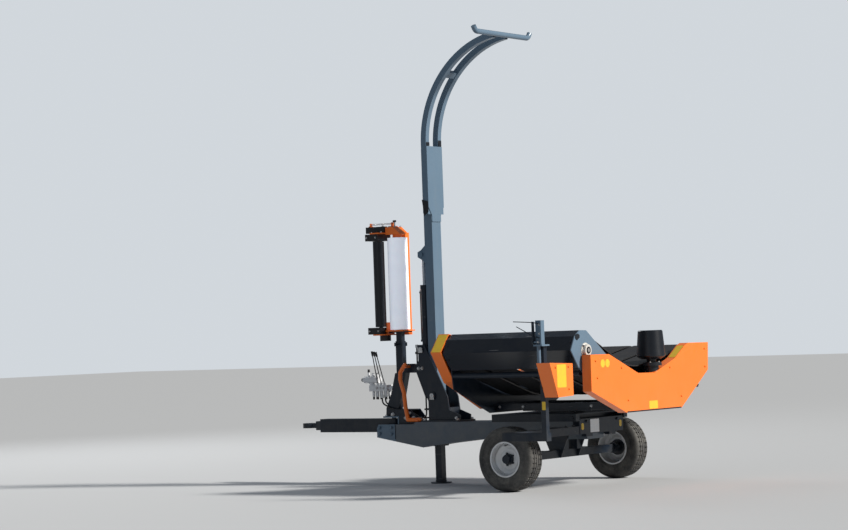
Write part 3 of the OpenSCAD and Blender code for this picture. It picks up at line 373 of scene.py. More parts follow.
f = Finish("zinc_steel")
spangle = f.noise(90.0, 4.0)
stain = f.range(f.noise(14.0, 6.0, 0.7), 0.5, 0.72)
f.set(Base_Color=f.blend(stain * 0.8, (0.52, 0.53, 0.54), (0.24, 0.15, 0.08)),
      Metallic=(1.0 - stain * 0.75).held(), Roughness=(0.30 + spangle * 0.2 + stain * 0.3).held(),
      Normal=f.bump(spangle, 0.15, 0.001))

f = Finish("chrome_rod")
smear = f.noise(18.0, 4.0, 0.6, f.scaled(f.place(), (1.0, 1.0, 0.2)))
f.set(Base_Color=f.blend(smear * 0.4, (0.80, 0.81, 0.83), (0.52, 0.50, 0.46)), Metallic=1.0,
      Roughness=(0.07 + smear * 0.14).held(), Normal=f.bump(smear, 0.04, 0.0005))
print("finishes", len(finishes))

# %% [markdown]
# ## Stickers, a reflector and cardboard
# A sticker is plastic film, smoother than the paint round it and a little faded in spots. The
# reflector on the rear beam is a strip of small glass-like cells, and a cell texture gives them.
# The stretch film is wound on a cardboard tube, whose fibres show as a fine mottle.

# %% Sticker, reflector and cardboard
f = Finish("yellow_sticker")
fading = f.range(f.noise(30.0, 6.0), 0.45, 0.7) * 0.5
f.set(Base_Color=f.blend(fading, (0.66, 0.43, 0.025), (0.52, 0.34, 0.05)),
      Roughness=(0.26 + f.noise(50.0, 3.0) * 0.2).held(),
      Normal=f.bump(f.noise(200.0, 2.0), 0.06, 0.0004))

f = Finish("reflector_white")
cell = f.out(f.node("ShaderNodeTexVoronoi", {"feature": "F1"}, Vector=f.place(), Scale=320.0),
             "Distance")
f.set(Base_Color=f.blend(cell * 0.8, (0.86, 0.87, 0.88), (0.55, 0.57, 0.60)),
      Roughness=0.22, Normal=f.bump(cell, 0.2, 0.0006))

f = Finish("cardboard_core")
fibre = f.noise(160.0, 5.0, 0.7)
f.set(Base_Color=f.blend(fibre, (0.36, 0.29, 0.20), (0.22, 0.17, 0.12)), Roughness=0.85,
      Normal=f.bump(fibre, 0.3, 0.0008))
print("finishes", len(finishes))

# %% [markdown]
# ## Painting the solids
# Every solid takes the finish that the record names for it, apart from a few that a closer look at
# the photograph sets off: the cylinder rods are polished chrome, the towing head has the arm's
# blue-grey, the side beams have that blue-grey darkened as painted shade for the table's shadow,
# the sheet over the left roller is gloss black, and the bearing housings are off-white castings.

# %% Finish each solid
slot_of = {entry["node"]: entry["material_slot"] for entry in frame["record"]["subparts"]}
# The side beams take the darkened blue-grey, which is painted shade.
closer = {"arm_rod": "chrome_rod", "tilt_rod": "chrome_rod", "head_box": "steel_blue_paint",
          "chassis_beam": "chassis_grey_paint", "side_guard": "gloss_black_paint",
          "roller_bearings": "housing_white"}
for name, piece in NODES.items():
    piece.data.materials.clear()
    piece.data.materials.append(finishes[closer.get(name, slot_of[name])])
print("painted", len(NODES), "solids")

# %% [markdown]
# ## A maker's bench for small pieces
# Everything small on the machine is a block, a rod, a turned shape, a bent bar or a flat plate. The
# bench below makes these five from Blender's own mesh operators and joins many of them in one mesh,
# so that forty bolts are one piece. Sizes are typed in metres from the axle, and the finished mesh
# is moved to the solids' frame once, in its vertices, so that the object stays at the origin. A
# turned shape that is closed at its middle keeps a hair-thin hole there, which the spin needs.

# %% The bench
UP = Vector((0, 0, 1))
# Radius of the hole that a turned shape keeps, and a hexagon's width over the radius of its corners
HAIR, HEX_ROOT = 0.0004, 1.732
WASHER = 0.0018


def stand(place, axis):
    """The turn and move that stand a shape made along Z at a place, along an axis."""
    turn = Vector(axis).to_track_quat("Z", "Y").to_matrix().to_4x4()
    return Matrix.Translation(Vector(place)) @ turn


def faces_of(verts):
    """Every face that touches these vertices."""
    return list({face for vert in verts for face in vert.link_faces})


def edges_of(verts):
    """Every edge that touches these vertices."""
    return list({edge for vert in verts for edge in vert.link_edges})


class Bench:
    """One mesh in the making."""

    def __init__(self, name, body, slot, finish=None):
        self.name, self.body, self.slot = name, body, slot
        self.finishes = [finishes[finish or slot]]
        self.bm = bmesh.new()

    def wear(self, finish, made):
        """Gives the faces between these vertices another finish, if one is named."""
        if not finish:
            return
        if finishes[finish] not in self.finishes:
            self.finishes.append(finishes[finish])
        index = self.finishes.index(finishes[finish])
        inside = set(made)
        for face in faces_of(made):
            if all(vert in inside for vert in face.verts):
                face.material_index = index

    def block(self, low, high, finish=None, round_by=0.0, turn=None):
        """A box between two corners, with rounded edges if asked."""
        low, high = Vector(low), Vector(high)
        made = bmesh.ops.create_cube(self.bm, size=1.0)["verts"]
        size = Matrix.Diagonal((*(high - low), 1.0))
        move = Matrix.Translation((low + high) / 2)
        turn = turn or Matrix.Identity(4)
        bmesh.ops.transform(self.bm, matrix=move @ turn @ size, verts=made)
        self.wear(finish, made)
        if round_by:
            bmesh.ops.bevel(self.bm, geom=edges_of(made), offset=round_by, segments=2,
                            profile=0.5, affect="EDGES", material=-1)

    def rod(self, start, end, radius, end_radius=None, sides=24, finish=None):
        """A round or many-sided rod from one place to another, tapered if asked."""
        start, end = Vector(start), Vector(end)
        end_radius = radius if end_radius is None else end_radius
        matrix = stand((start + end) / 2, end - start)
        made = bmesh.ops.create_cone(self.bm, cap_ends=True, segments=sides, radius1=radius,
                                     radius2=end_radius, depth=(end - start).length,
                                     matrix=matrix)["verts"]
        self.wear(finish, made)

    def turned(self, profile, place, axis, steps=32, finish=None):
        """A closed profile of (radius, height) turned round an axis."""
        points = [self.bm.verts.new((r, 0.0, h)) for r, h in profile]
        edges = [self.bm.edges.new((a, b)) for a, b in zip(points, points[1:] + points[:1])]
        bmesh.ops.spin(self.bm, geom=points + edges, cent=(0, 0, 0), axis=UP, dvec=(0, 0, 0),
                       angle=math.tau, steps=steps, use_merge=True)
        made = self.joined_to(points)
        bmesh.ops.remove_doubles(self.bm, verts=made, dist=0.00001)
        made = [vert for vert in made if vert.is_valid]
        bmesh.ops.recalc_face_normals(self.bm, faces=faces_of(made))
        bmesh.ops.transform(self.bm, matrix=stand(place, axis), verts=made)
        self.wear(finish, made)

    def joined_to(self, first):
        """Every vertex that hangs together with the first ones."""
        seen, rest = set(first), list(first)
        while rest:
            for edge in rest.pop().link_edges:
                for vert in edge.verts:
                    if vert not in seen:
                        seen.add(vert)
                        rest.append(vert)
        return list(seen)

    def bent(self, points, radius, sides=12, finish=None):
        """A round bar along a path: a ring is extruded from each point to the next."""
        points = [Vector(point) for point in points]
        ways = [(b - a).normalized() for a, b in zip(points, points[1:])]
        middles = [(a + b).normalized() for a, b in zip(ways, ways[1:])]
        facing = [ways[0]] + middles + [ways[-1]]
        ring = bmesh.ops.create_circle(self.bm, cap_ends=False, segments=sides,
                                       radius=radius)["verts"]
        bmesh.ops.transform(self.bm, matrix=stand(points[0], facing[0]), verts=ring)
        made, edges = list(ring), edges_of(ring)
        first = list(edges)
        for k in range(1, len(points)):
            grown = bmesh.ops.extrude_edge_only(self.bm, edges=edges)["geom"]
            ring = [g for g in grown if isinstance(g, bmesh.types.BMVert)]
            edges = [g for g in grown
                     if isinstance(g, bmesh.types.BMEdge) and all(v in ring for v in g.verts)]
            swing = facing[k - 1].rotation_difference(facing[k]).to_matrix().to_4x4()
            move = Matrix.Translation(points[k]) @ swing @ Matrix.Translation(-points[k - 1])
            bmesh.ops.transform(self.bm, matrix=move, verts=ring)
            made += ring
        bmesh.ops.holes_fill(self.bm, edges=first + edges, sides=sides)
        bmesh.ops.recalc_face_normals(self.bm, faces=faces_of(made))
        self.wear(finish, made)

    def plate(self, outline, thick, finish=None):
        """A flat plate: its outline in space, thickened along a vector."""
        points = [self.bm.verts.new(Vector(point)) for point in outline]
        face = self.bm.faces.new(points)
        grown = bmesh.ops.extrude_face_region(self.bm, geom=[face])["geom"]
        moved = [g for g in grown if isinstance(g, bmesh.types.BMVert)]
        bmesh.ops.translate(self.bm, vec=Vector(thick), verts=moved)
        bmesh.ops.recalc_face_normals(self.bm, faces=faces_of(points + moved))
        self.wear(finish, points + moved)

    def bolt(self, place, axis, across=0.019, finish="zinc_steel"):
        """A hexagon head with its washer, seated on a surface."""
        axis, place, r = Vector(axis).normalized(), Vector(place), across / HEX_ROOT
        head = place + axis * WASHER
        top = head + axis * across * 0.52
        self.turned([(HAIR, 0), (r * 1.25, 0), (r * 1.25, WASHER), (HAIR, WASHER)], place, axis,
                    20, finish)
        self.rod(head, top, r, sides=6, finish=finish)
        self.rod(top, top + axis * across * 0.09, r * 0.93, r * 0.72, 6, finish)

    def weld(self, start, end, radius=0.0035):
        """A bead of weld: short overlapping ripples along a line."""
        start, end = Vector(start), Vector(end)
        count = max(2, int((end - start).length / (radius * 1.3)))
        for k in range(count):
            a = start.lerp(end, k / count)
            b = start.lerp(end, (k + 1.35) / count) if k < count - 1 else end
            self.rod(a, b, radius, radius * 0.72, 7)

    def done(self, sharp=35.0):
        """The mesh becomes an object at the origin, rides its body and takes its finishes."""
        bmesh.ops.translate(self.bm, vec=-ACROSS, verts=self.bm.verts[:])
        mesh = bpy.data.meshes.new(self.name)
        self.bm.to_mesh(mesh)
        self.bm.free()
        for finish in self.finishes:
            mesh.materials.append(finish)
        mesh.polygons.foreach_set("use_smooth", [True] * len(mesh.polygons))
        mesh.set_sharp_from_angle(angle=math.radians(sharp))
        piece = bpy.data.objects.new(self.name, mesh)
        bpy.context.scene.collection.objects.link(piece)
        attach(piece, self.body)
        print(self.name, len(mesh.polygons), "faces on", self.body)
        return piece


# %% [markdown]
# ## Tyres
# A small implement tyre has a flat road tread with four ribs, cut across by short slots, and a wall
# with a bead ridge and two moulded rings. Turning one profile gives ribs and rings exactly. The
# slots are made by pulling every third strip of rib faces inwards, which needs no extra cutting.
# The tread's top stays at the solid's own radius, so the wheel still stands on the ground.

# %% Tyres with ribs and slots
TRACK_HALF, AXLE_Z, TREAD_R = 0.760, 0.245, 0.2445
STRIPS, SLOT_EVERY = 120, 3
# Half of the section, from the tread's middle to the bead: distance sideways, height over TREAD_R
HALF_SECTION = [
    (0.0, 0.0), (0.010, 0.0), (0.010, -0.007), (0.016, -0.007), (0.016, 0.0), (0.038, -0.0006),
    (0.038, -0.0075), (0.045, -0.0075), (0.045, -0.0012), (0.066, -0.0036), (0.074, -0.009),
    (0.080, -0.019), (0.0855, -0.034), (0.0868, -0.048), (0.0845, -0.0485), (0.0848, -0.062),
    (0.0868, -0.0625), (0.0862, -0.078), (0.083, -0.090), (0.083, -0.094), (0.079, -0.0945),
    (0.0765, -0.106), (0.0775, -0.108), (0.0725, -0.1155)]


def tyre(bench, middle):
    """Turns the tyre round the axle and sinks its slots. The two halves are half a step apart."""
    profile = [(TREAD_R + h, w) for w, h in HALF_SECTION] + [(0.128, 0.066), (0.128, -0.066)]
    profile += [(TREAD_R + h, -w) for w, h in reversed(HALF_SECTION[1:])]
    bench.turned(profile, middle, (0, 1, 0), STRIPS)
    slots = []
    for face in bench.bm.faces:
        place = face.calc_center_median() - middle
        turn, across = math.atan2(place.z, place.x) / math.tau, abs(place.y)
        if place.y > 0:
            turn += 0.5 * SLOT_EVERY / STRIPS
        in_strip = int((turn % 1.0) * STRIPS) % SLOT_EVERY == 0
        on_rib = 0.017 < across < 0.037 or across > 0.046
        if in_strip and on_rib and math.hypot(place.x, place.z) > TREAD_R - 0.006:
            slots.append(face)
    bmesh.ops.inset_individual(bench.bm, faces=slots, thickness=0.0012, depth=-0.0045)
    print("slots", len(slots))


for name, body, node, side in (("tyre_tread_left", "wheel_left", "tyre_left", 1),
                               ("tyre_tread_right", "wheel_right", "tyre_right", -1)):
    b = Bench(name, body, "tyre_rubber")
    tyre(b, Vector((0, TRACK_HALF * side, AXLE_Z)))
    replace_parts(b.done(50.0), node)

# %% [markdown]
# ## Seating small things
# A bolt that floats, or sinks in, is the first thing that gives a model away. So no bolt is placed
# by a typed height: a ray is shot at the named solid, and the place and the slope where it lands
# seat the bolt. A shot that misses is printed at the end, and its bolt is left out.

# %% Shooting at a solid
missed = []


def seat(node, start, way):
    """Where a ray from a measured place meets a solid, and the surface's outward direction."""
    way = Vector(way).normalized()
    hit, place, normal, _ = NODES[node].ray_cast(Vector(start) - ACROSS, way)
    if not hit:
        missed.append((node, tuple(start)))
        return None, None
    return place + ACROSS, normal if normal.dot(way) < 0 else -normal


def bolt_row(bench, node, starts, way, across=0.019, finish="zinc_steel"):
    """One seated bolt for each start."""
    for start in starts:
        place, normal = seat(node, start, way)
        if place is not None:
            bench.bolt(place, normal, across, finish)


LEFT, RIGHT, AHEAD, BACK, DOWN = (0, 1, 0), (0, -1, 0), (1, 0, 0), (-1, 0, 0), (0, 0, -1)
FLANKS = ((1, RIGHT), (-1, LEFT))
ROLLERS = {"roller_left": (0.801, 1.047), "roller_right": (-0.80, 0.92)}
CONES = {"cone_rear": (-0.745, -0.097), "cone_front": (0.465, 0.097)}
print("rollers at", ROLLERS, "cones at", CONES)

# %% [markdown]
# ## Bolts of the chassis
# The mast foot is bolted to the rails, the rear beam carries plates for the axle, and the towing
# head has through bolts. On both sides they sit at the same places, so each row is shot twice.

# %% Chassis bolts
SIDE_BOLTS = (
    ("dispenser_stand", ((1.41, 0.53), (1.49, 0.53), (1.62, 0.56), (1.45, 0.57)), 0.022,
     "zinc_steel"),
    ("mast_foot", ((0.975, 0.527), (1.30, 0.93), (1.335, 0.93)), 0.019, "zinc_steel"),
    ("head_box", ((1.60, 0.405), (1.60, 0.455), (1.72, 0.405), (1.72, 0.455)), 0.022,
     "steel_blue_paint"),
    ("guard_bar", ((1.345, 0.515),), 0.016, "orange_paint"))
b = Bench("chassis_bolts", "chassis", "zinc_steel")
for side, way in FLANKS:
    for node, spots, across, finish in SIDE_BOLTS:
        bolt_row(b, node, [(x, 0.6 * side, z) for x, z in spots], way, across, finish)
bolt_row(b, "mast_foot", [(x, y, 0.7) for x in (0.95, 1.275) for y in (-0.1, 0.1)], DOWN, 0.024)
bolt_row(b, "rear_beam", [(-0.6, y, 0.50) for y in (-0.22, 0.22)], AHEAD, 0.017,
         "dark_frame_paint")
bolt_row(b, "head_box", [(x, y, 0.7) for x in (1.58, 1.70) for y in (-0.05, 0.05)], DOWN)
bolt_row(b, "cutter_carrier", [(-0.31, y, 0.6) for y in (0.36, 0.46)], DOWN, 0.019,
         "dark_frame_paint")
bolt_row(b, "cutter_guard", [(-1.0, 1.13, 0.775), (-1.0, 1.13, 0.935), (-1.0, 1.30, 0.935)], AHEAD,
         0.011, "orange_paint")
bolt_row(b, "cutter_clamp", [(-0.652, 1.5, z) for z in (1.12, 1.18, 1.245)], RIGHT, 0.012)
b.done()

# %% [markdown]
# ## Bolts of the table
# These ride on the table, so they have a bench of their own. The covers have small painted bolts
# near their rims, and each bearing has four on its flange.

# %% Table bolts
SMALL = 0.010
COVER_SPOTS = ((0.80, 0.965), (0.44, 0.905), (-0.26, 0.885), (-0.80, 1.015), (-0.80, 0.875),
               (-0.42, 0.66), (0.36, 0.66), (0.78, 0.84))
b = Bench("table_bolts", "table", "zinc_steel")
for y, z in COVER_SPOTS:
    bolt_row(b, "cover_rear", [(-1.0, y, z)], AHEAD, SMALL, "orange_paint")
    bolt_row(b, "cover_front", [(0.8, y, z)], BACK, SMALL, "orange_paint")
for y, z in ROLLERS.values():
    for k in range(4):
        turn = math.radians(45 + 90 * k)
        spot = (y + 0.049 * math.cos(turn), z + 0.049 * math.sin(turn))
        bolt_row(b, "roller_bearings", [(-1.0, *spot)], AHEAD, SMALL)
        bolt_row(b, "roller_bearings", [(0.8, *spot)], BACK, SMALL)
bolt_row(b, "side_guard", [(x, 1.4, z) for x in (-0.70, 0.40) for z in (1.00, 1.11)], RIGHT,
         SMALL, "gloss_black_paint")
for x, y in CONES.values():
    out = -1 if x < 0 else 1
    for dx, dy in ((0.030, 0.066), (0.030, -0.066), (0.066, 0.0)):
        bolt_row(b, "cone_bases", [(x + out * dx, y + dy, 0.934)], DOWN, SMALL)
for side, way in FLANKS:
    bolt_row(b, "table_frame", [(x, 0.6 * side, 0.62) for x in (-0.68, -0.45, 0.17, 0.39)], way,
             0.016)
b.done()

# %% [markdown]
# ## Rubber pads and a painted shade patch on the arm
# A black plate on the left flank of the arm's broad plate is painted shade for the dark notch where
# the box meets the tubes, and rubber pads stand where the two bent tubes leave the box.

# %% Painted shade patch and pads
b = Bench("arm_pads_and_shade_patch", "arm", "black_rubber")
# A black sheet on the flank: painted shade of the notch between the box and the tubes.
b.plate([(1.222, 0.1055, 2.290), (1.160, 0.1055, 2.272), (1.160, 0.1055, 2.190),
         (1.202, 0.1055, 2.156)], (0, 0.004, 0))
b.block((1.158, -0.101, 2.7215), (1.204, -0.0625, 2.772), round_by=0.003)
b.block((1.158, 0.0625, 2.7215), (1.204, 0.101, 2.752), round_by=0.003)
b.done()

# %% [markdown]
# ## Bolts of the dispenser
# The frame that holds the roll is bolted at its top and down its right side, and the blocks of the
# stretch rollers from the left and from above.

# %% Dispenser bolts
b = Bench("dispenser_bolts", "dispenser", "zinc_steel")
bolt_row(b, "dispenser_frame", [(x, y, 2.2) for x in (1.655, 1.75) for y in (-0.03, 0.10)], DOWN,
         0.013)
bolt_row(b, "dispenser_frame", [(x, y, 2.2) for x in (1.56, 1.615) for y in (-0.04, 0.04)], DOWN,
         0.013)
bolt_row(b, "dispenser_frame", [(1.61, -0.4, z) for z in (1.25, 1.5, 1.75, 1.98)], LEFT, 0.011)
bolt_row(b, "stretch_blocks", [(x, 0.4, z) for x in (1.69, 1.78) for z in (1.243, 2.008)], RIGHT,
         0.011)
bolt_row(b, "stretch_blocks", [(x, 0.041, 2.2) for x in (1.68, 1.81)], DOWN, 0.013)
b.done()

# %% [markdown]
# ## Weld beads
# Where two plates meet on this frame they are welded. A bead of short overlapping ripples breaks
# the hard line between them and catches a little light. Most seams are the same on both flanks.

# %% Beads on the frame and the arm
def weld_both_flanks(bench, seams):
    """Each seam as (start, end, radius), on the left and on the right."""
    for side in (1, -1):
        for start, end, radius in seams:
            bench.weld(*[(x, y * side, z) for x, y, z in (start, end)], radius)


b = Bench("chassis_welds", "chassis", "dark_frame_paint")
weld_both_flanks(b, (
    ((1.058, 0.0792, 0.511), (1.245, 0.0792, 0.511), 0.0035),
    ((0.942, 0.0792, 0.511), (1.04, 0.0792, 0.511), 0.0035),
    ((-0.279, 0.121, 0.408), (-0.279, 0.121, 0.494), 0.004),
    ((1.561, 0.121, 0.36), (1.561, 0.121, 0.478), 0.004),
    ((-0.28, 0.302, 0.522), (-0.34, 0.302, 0.522), 0.0035),
    ((0.07, 0.30, 0.276), (-0.07, 0.30, 0.276), 0.003)))
b.weld((1.40, 0.031, 0.966), (1.53, 0.031, 0.966), 0.003)
b.weld((-0.342, 0.313, 0.464), (-0.342, 0.313, 0.407), 0.003)
b.done(60.0)

b = Bench("arm_welds", "arm", "steel_blue_paint")
weld_both_flanks(b, (
    ((1.166, 0.061, 2.12), (1.166, 0.061, 2.168), 0.003),
    ((1.246, 0.060, 2.18), (1.246, 0.060, 2.70), 0.003),
    ((1.2455, 0.058, 1.78), (1.2455, 0.058, 1.92), 0.003)))
b.done(60.0)

# %% [markdown]
# ## Stickers and the reflector
# Yellow stickers sit on the covers and the frame, and here they stay blank: a film with cut
# corners, about half a millimetre thick so that it shows as a sheet. The rear beam carries a white
# reflecting strip. A sticker is a flat outline, thickened, and turned to the slope that it lies on.

# %% Blank stickers and the reflector
CARD_THICK, CARD_GAP = 0.0006, 0.0003


def card(bench, node, middle, way, wide, high, finish="yellow_sticker", across=None, corner=0.006):
    """A thin card with cut corners, laid on a solid where a ray lands."""
    place, normal = seat(node, middle, way)
    if place is None:
        return
    across = Vector(across or Vector(normal).cross(UP)).normalized()
    across = (across - normal * across.dot(normal)).normalized()
    up = normal.cross(across).normalized()
    w, h, c = wide / 2, high / 2, corner
    ring = ((-w, -h + c), (-w + c, -h), (w - c, -h), (w, -h + c),
            (w, h - c), (w - c, h), (-w + c, h), (-w, h - c))
    outline = [place + normal * CARD_GAP + across * x + up * y for x, y in ring]
    bench.plate(outline, normal * CARD_THICK, finish)


b = Bench("chassis_cards", "chassis", "orange_paint", "yellow_sticker")
card(b, "cutter_guard", (-1.0, 1.222, 0.872), AHEAD, 0.120, 0.165)
card(b, "rear_beam", (-0.6, 0.100, 0.462), AHEAD, 0.125, 0.100, "reflector_white", corner=0.002)
for y in (-0.272, 0.272):
    card(b, "rear_beam", (-0.6, y, 0.462), AHEAD, 0.034, 0.050, corner=0.008)
card(b, "cutter_carrier", (-0.652, 1.6, 0.66), RIGHT, 0.030, 0.060, corner=0.003)
b.done()

b = Bench("table_cards", "table", "orange_paint", "yellow_sticker")
card(b, "cover_rear", (-1.0, 0.0, 0.612), AHEAD, 0.125, 0.060)
card(b, "cover_rear", (-0.774, -0.425, 1.3), DOWN, 0.165, 0.058, across=(0, -0.85, 0.52),
     corner=0.004)
for y in (0.635, 0.70):
    card(b, "cover_rear", (-1.0, y, 0.945), AHEAD, 0.058, 0.058, corner=0.017)
card(b, "cover_front", (0.481, 1.4, 1.13), RIGHT, 0.085, 0.170, corner=0.004)
b.done()

# %% [markdown]
# ## Bearings
# Each roller turns in two flanged bearings. What shows is the end of the shaft, whose centre hole
# holds a black cone as painted shade, and a grease nipple on the housing. The shaft's end turns
# with the roller, and the nipple stays with the table.

# %% Shaft ends and nipples
for name, (y, z) in ROLLERS.items():
    b = Bench(f"{name}_ends", name, "zinc_steel")
    for x, out in ((-0.7592, (-1, 0, 0)), (0.4622, (1, 0, 0))):
        b.turned([(0.004, 0.0), (0.013, 0.0), (0.0145, -0.0014), (0.0145, -0.003),
                  (0.004, -0.0035)], (x, y, z), out, 28)
        # A black cone fills the centre hole: painted shade for its depth.
        b.turned([(HAIR, -0.0001), (0.0040, -0.0001), (0.0030, -0.0030), (HAIR, -0.0034)],
                 (x, y, z), out, 20, "black_rubber")
    b.done()

b = Bench("grease_nipples", "table", "zinc_steel")
for y, z in ROLLERS.values():
    for x in (-0.742, 0.445):
        place, normal = seat("roller_bearings", (x, y + 0.3, z + 0.3), (0, -1, -1))
        if place is not None:
            b.rod(place - normal * 0.001, place + normal * 0.007, 0.0045, sides=6)
            b.rod(place + normal * 0.007, place + normal * 0.013, 0.0026, 0.0030, 12)
            b.rod(place + normal * 0.013, place + normal * 0.016, 0.0032, 0.0012, 12)
b.done()

# %% [markdown]
# ## The film roll's ends
# Film is wound on a cardboard core that stands a little proud, and fine rings on both end
# faces show where the winding paused. The roll itself stays the solid.

# %% Core and end rings
b = Bench("film_core", "film_roll", "white_film")
for z, way in ((2.0, 1), (1.25, -1)):
    end, facing = (1.565, 0, z), (0, 0, way)
    b.turned([(0.0385, -0.004), (0.0455, -0.004), (0.0455, 0.0025), (0.0385, 0.0025)], end, facing,
             64, "cardboard_core")
    for r in (0.052, 0.0605, 0.066, 0.0735, 0.079):
        b.turned([(r, -0.0004), (r + 0.0018, -0.0004), (r + 0.0018, 0.0006), (r, 0.0006)], end,
                 facing, 64)
b.done()

# %% [markdown]
# ## Pipes on the mast
# Oil reaches the arm's cylinder through two steel pipes, painted black and clipped to the mast.
# They start at the valve bank, run past the stand's leg, back along the foot and up the mast's
# front. Each corner of a coarse path is rounded before a ring is drawn along it, as a pipe is bent.

# %% Bent pipes and their clips
def rounded(path, radius, steps=5):
    """A path whose corners are swapped for arcs."""
    path = [Vector(point) for point in path]
    out = [path[0]]
    for before, corner, after in zip(path, path[1:], path[2:]):
        come, go = (corner - before).normalized(), (after - corner).normalized()
        half = come.angle(go) / 2
        if half < 0.02:
            out.append(corner)
            continue
        room = 0.45 * min((corner - before).length, (after - corner).length)
        reach = min(radius * math.tan(half), room)
        start, end = corner - come * reach, corner + go * reach
        for k in range(steps + 1):
            t = k / steps
            out.append(start * (1 - t) ** 2 + corner * (2 * t * (1 - t)) + end * t * t)
    return out + [path[-1]]


PIPE_R, PIPE_BEND, PIPE_HALF_GAP = 0.0065, 0.045, 0.044
PORT_X, MAST_HALF = 1.759, 0.068
b = Bench("mast_pipes", "chassis", "black_plastic")
for side in (1, -1):
    y, port_y, mast_y = PIPE_HALF_GAP * side, PIPE_HALF_GAP * side * 0.5, MAST_HALF * side
    path = [(1.372, y, 1.115), (1.372, y, 0.885), (1.296, y, 0.70), (1.296, y, 0.526),
            (1.43, y, 0.526), (1.52, y, 0.58), (1.66, y, 0.61), (PORT_X, port_y, 0.65),
            (PORT_X, port_y, 0.722)]
    b.bent(rounded(path, PIPE_BEND), PIPE_R)
    b.rod((PORT_X, port_y, 0.694), (PORT_X, port_y, 0.718), 0.0125, sides=6, finish="zinc_steel")
    b.rod((1.372, y, 1.095), (1.372, y, 1.122), 0.0115, sides=6, finish="zinc_steel")
    b.block((1.333, y - 0.010, 1.045), (1.384, y + 0.010, 1.065), round_by=0.002)
    b.block((1.333, min(y, mast_y), 1.047), (1.350, max(y, mast_y), 1.063))
    b.block((1.280, y - 0.010, 0.590), (1.306, y + 0.010, 0.606), round_by=0.002)
    b.block((1.235, min(y, mast_y), 0.592), (1.300, max(y, mast_y), 0.604))
b.done()

# %% [markdown]
# ## Pins and the cylinder's pipe
# The pivot pins end in a bright round head with a grease nipple, outside the cheeks, and on the
# left a locking plate lies under each head. In the photograph they are the brightest points on the
# dark mast. A thin pipe runs down the arm's cylinder to its lower port.

# %% Pin heads and a thin pipe
b = Bench("pivot_pin_heads", "chassis", "zinc_steel")
for x, z, r in ((1.205, 0.707, 0.021), (1.306, 1.084, 0.017)):
    for side, way in FLANKS:
        place, normal = seat("mast_foot", (x, 0.5 * side, z), way)
        b.turned([(HAIR, -0.001), (r, -0.001), (r, 0.005), (r - 0.002, 0.007), (HAIR, 0.007)],
                 place, normal, 28)
        b.rod(place + normal * 0.007, place + normal * 0.015, 0.004, 0.0025, 10)
        if side > 0:
            low = place - UP * (r + 0.004)
            b.block(low - Vector((0.022, -0.0002, 0.006)), low + Vector((0.022, 0.006, 0.012)),
                    round_by=0.001)
b.done()

b = Bench("cylinder_glands", "arm_barrel", "dark_frame_paint")
port, _ = seat("arm_barrel", (1.62, 0, 1.56), BACK)
if port is not None:
    low, out = Vector((port.x, 0.0, 1.16)), Vector((0.012, 0, 0))
    b.bent(rounded([port - out * 0.2, port + out, low + out, low - out * 0.5], 0.012), 0.0055)
    b.rod(port - out * 0.1, port + out * 0.8, 0.011, sides=6, finish="zinc_steel")
b.done()

# %% [markdown]
# ## Belt joints
# Each belt is closed with a row of wire staples pressed into both ends, where it comes over the
# left roller. Every staple is seated by a ray, a little proud of the rubber.

# %% Staples across the belts
BELT_FIRST, BELT_PITCH, STAPLE_PITCH = -0.695, 0.2883, 0.012
b = Bench("belt_staples", "table", "zinc_steel")
for belt in range(4):
    for n in range(20):
        x = BELT_FIRST + belt * BELT_PITCH + n * STAPLE_PITCH
        place, normal = seat("belts", (x, 0.56, 1.4), DOWN)
        if place is not None and x <= 0.40:
            half, lift = normal.cross(Vector(AHEAD)).normalized() * 0.011, normal * 0.0006
            b.rod(place - half + lift, place + half + lift, 0.0013, sides=6)
b.done()

# %% [markdown]
# ## Painted shade strip, latch and cone washers
# A black strip along the rear cover's lower edge is painted shade for the dark edge under its lip.
# A rubber latch sits on its right corner, and a flat rubber plug closes a hole of the rear end
# plate. On top of each cone lies a steel washer.

# %% Shade strip, latch, plug and cone washers
PLUG = ((0.928, 1.163), (0.893, 1.171), (0.872, 1.158), (0.876, 1.140), (0.908, 1.122),
        (0.930, 1.138))
b = Bench("cover_rubber_and_shade_strip", "table", "black_rubber")
b.plate([(-0.7252, y, z) for y, z in PLUG], (-0.004, 0, 0))
# A black strip along the cover's lower edge: painted shade of its lip.
b.block((-0.8125, -0.412, 0.569), (-0.8098, 0.380, 0.578))
b.block((-0.8060, -0.700, 0.722), (-0.770, -0.674, 0.748), round_by=0.004,
        turn=Matrix.Rotation(math.radians(-60), 4, "X"))
b.done()
for name, (x, y) in CONES.items():
    b = Bench(f"{name}_bolt", name, "zinc_steel")
    b.turned([(HAIR, -0.001), (0.024, -0.001), (0.024, 0.0), (HAIR, 0.0)], (x, y, 1.1748), UP, 28)
    b.done()

# %% [markdown]
# ## Inside the cutter guard
# Behind its orange guard the film is cut by a toothed blade, held on the post by two brackets. Two
# thin rods above it lead the film into the clamp. The teeth are one flat outline, thickened.

# %% Blade and film rods
BLADE_X, BLADE_LOW, TOOTH = -0.735, 0.780, 0.0125
edge = [(1.250, BLADE_LOW)]
for k in range(12):
    edge += [(1.205, BLADE_LOW + TOOTH * k), (1.196, BLADE_LOW + TOOTH * (k + 0.5))]
edge += [(1.205, 0.930), (1.250, 0.930)]
b = Bench("cutter_blade", "chassis", "zinc_steel")
b.plate([(BLADE_X, y, z) for y, z in edge], (0.003, 0, 0))
for z in (0.800, 0.880):
    b.block((-0.732, 1.222, z), (-0.660, 1.232, z + 0.030), "dark_frame_paint", 0.002)
for path in ([(-0.652, 1.290, 1.250), (-0.60, 1.290, 1.262), (-0.42, 1.275, 1.272)],
             [(-0.652, 1.290, 1.150), (-0.60, 1.295, 1.165), (-0.46, 1.295, 1.235)]):
    b.bent(rounded(path, 0.03), 0.003, finish="dark_frame_paint")
b.done()

# %% [markdown]
# ## Small parts on the dispenser
# On top of the unit sit a brake lever for the roll with its round knob, and a spring that pulls it
# towards a bracket over the stretch rollers. Each stretch roller has light metal end caps.

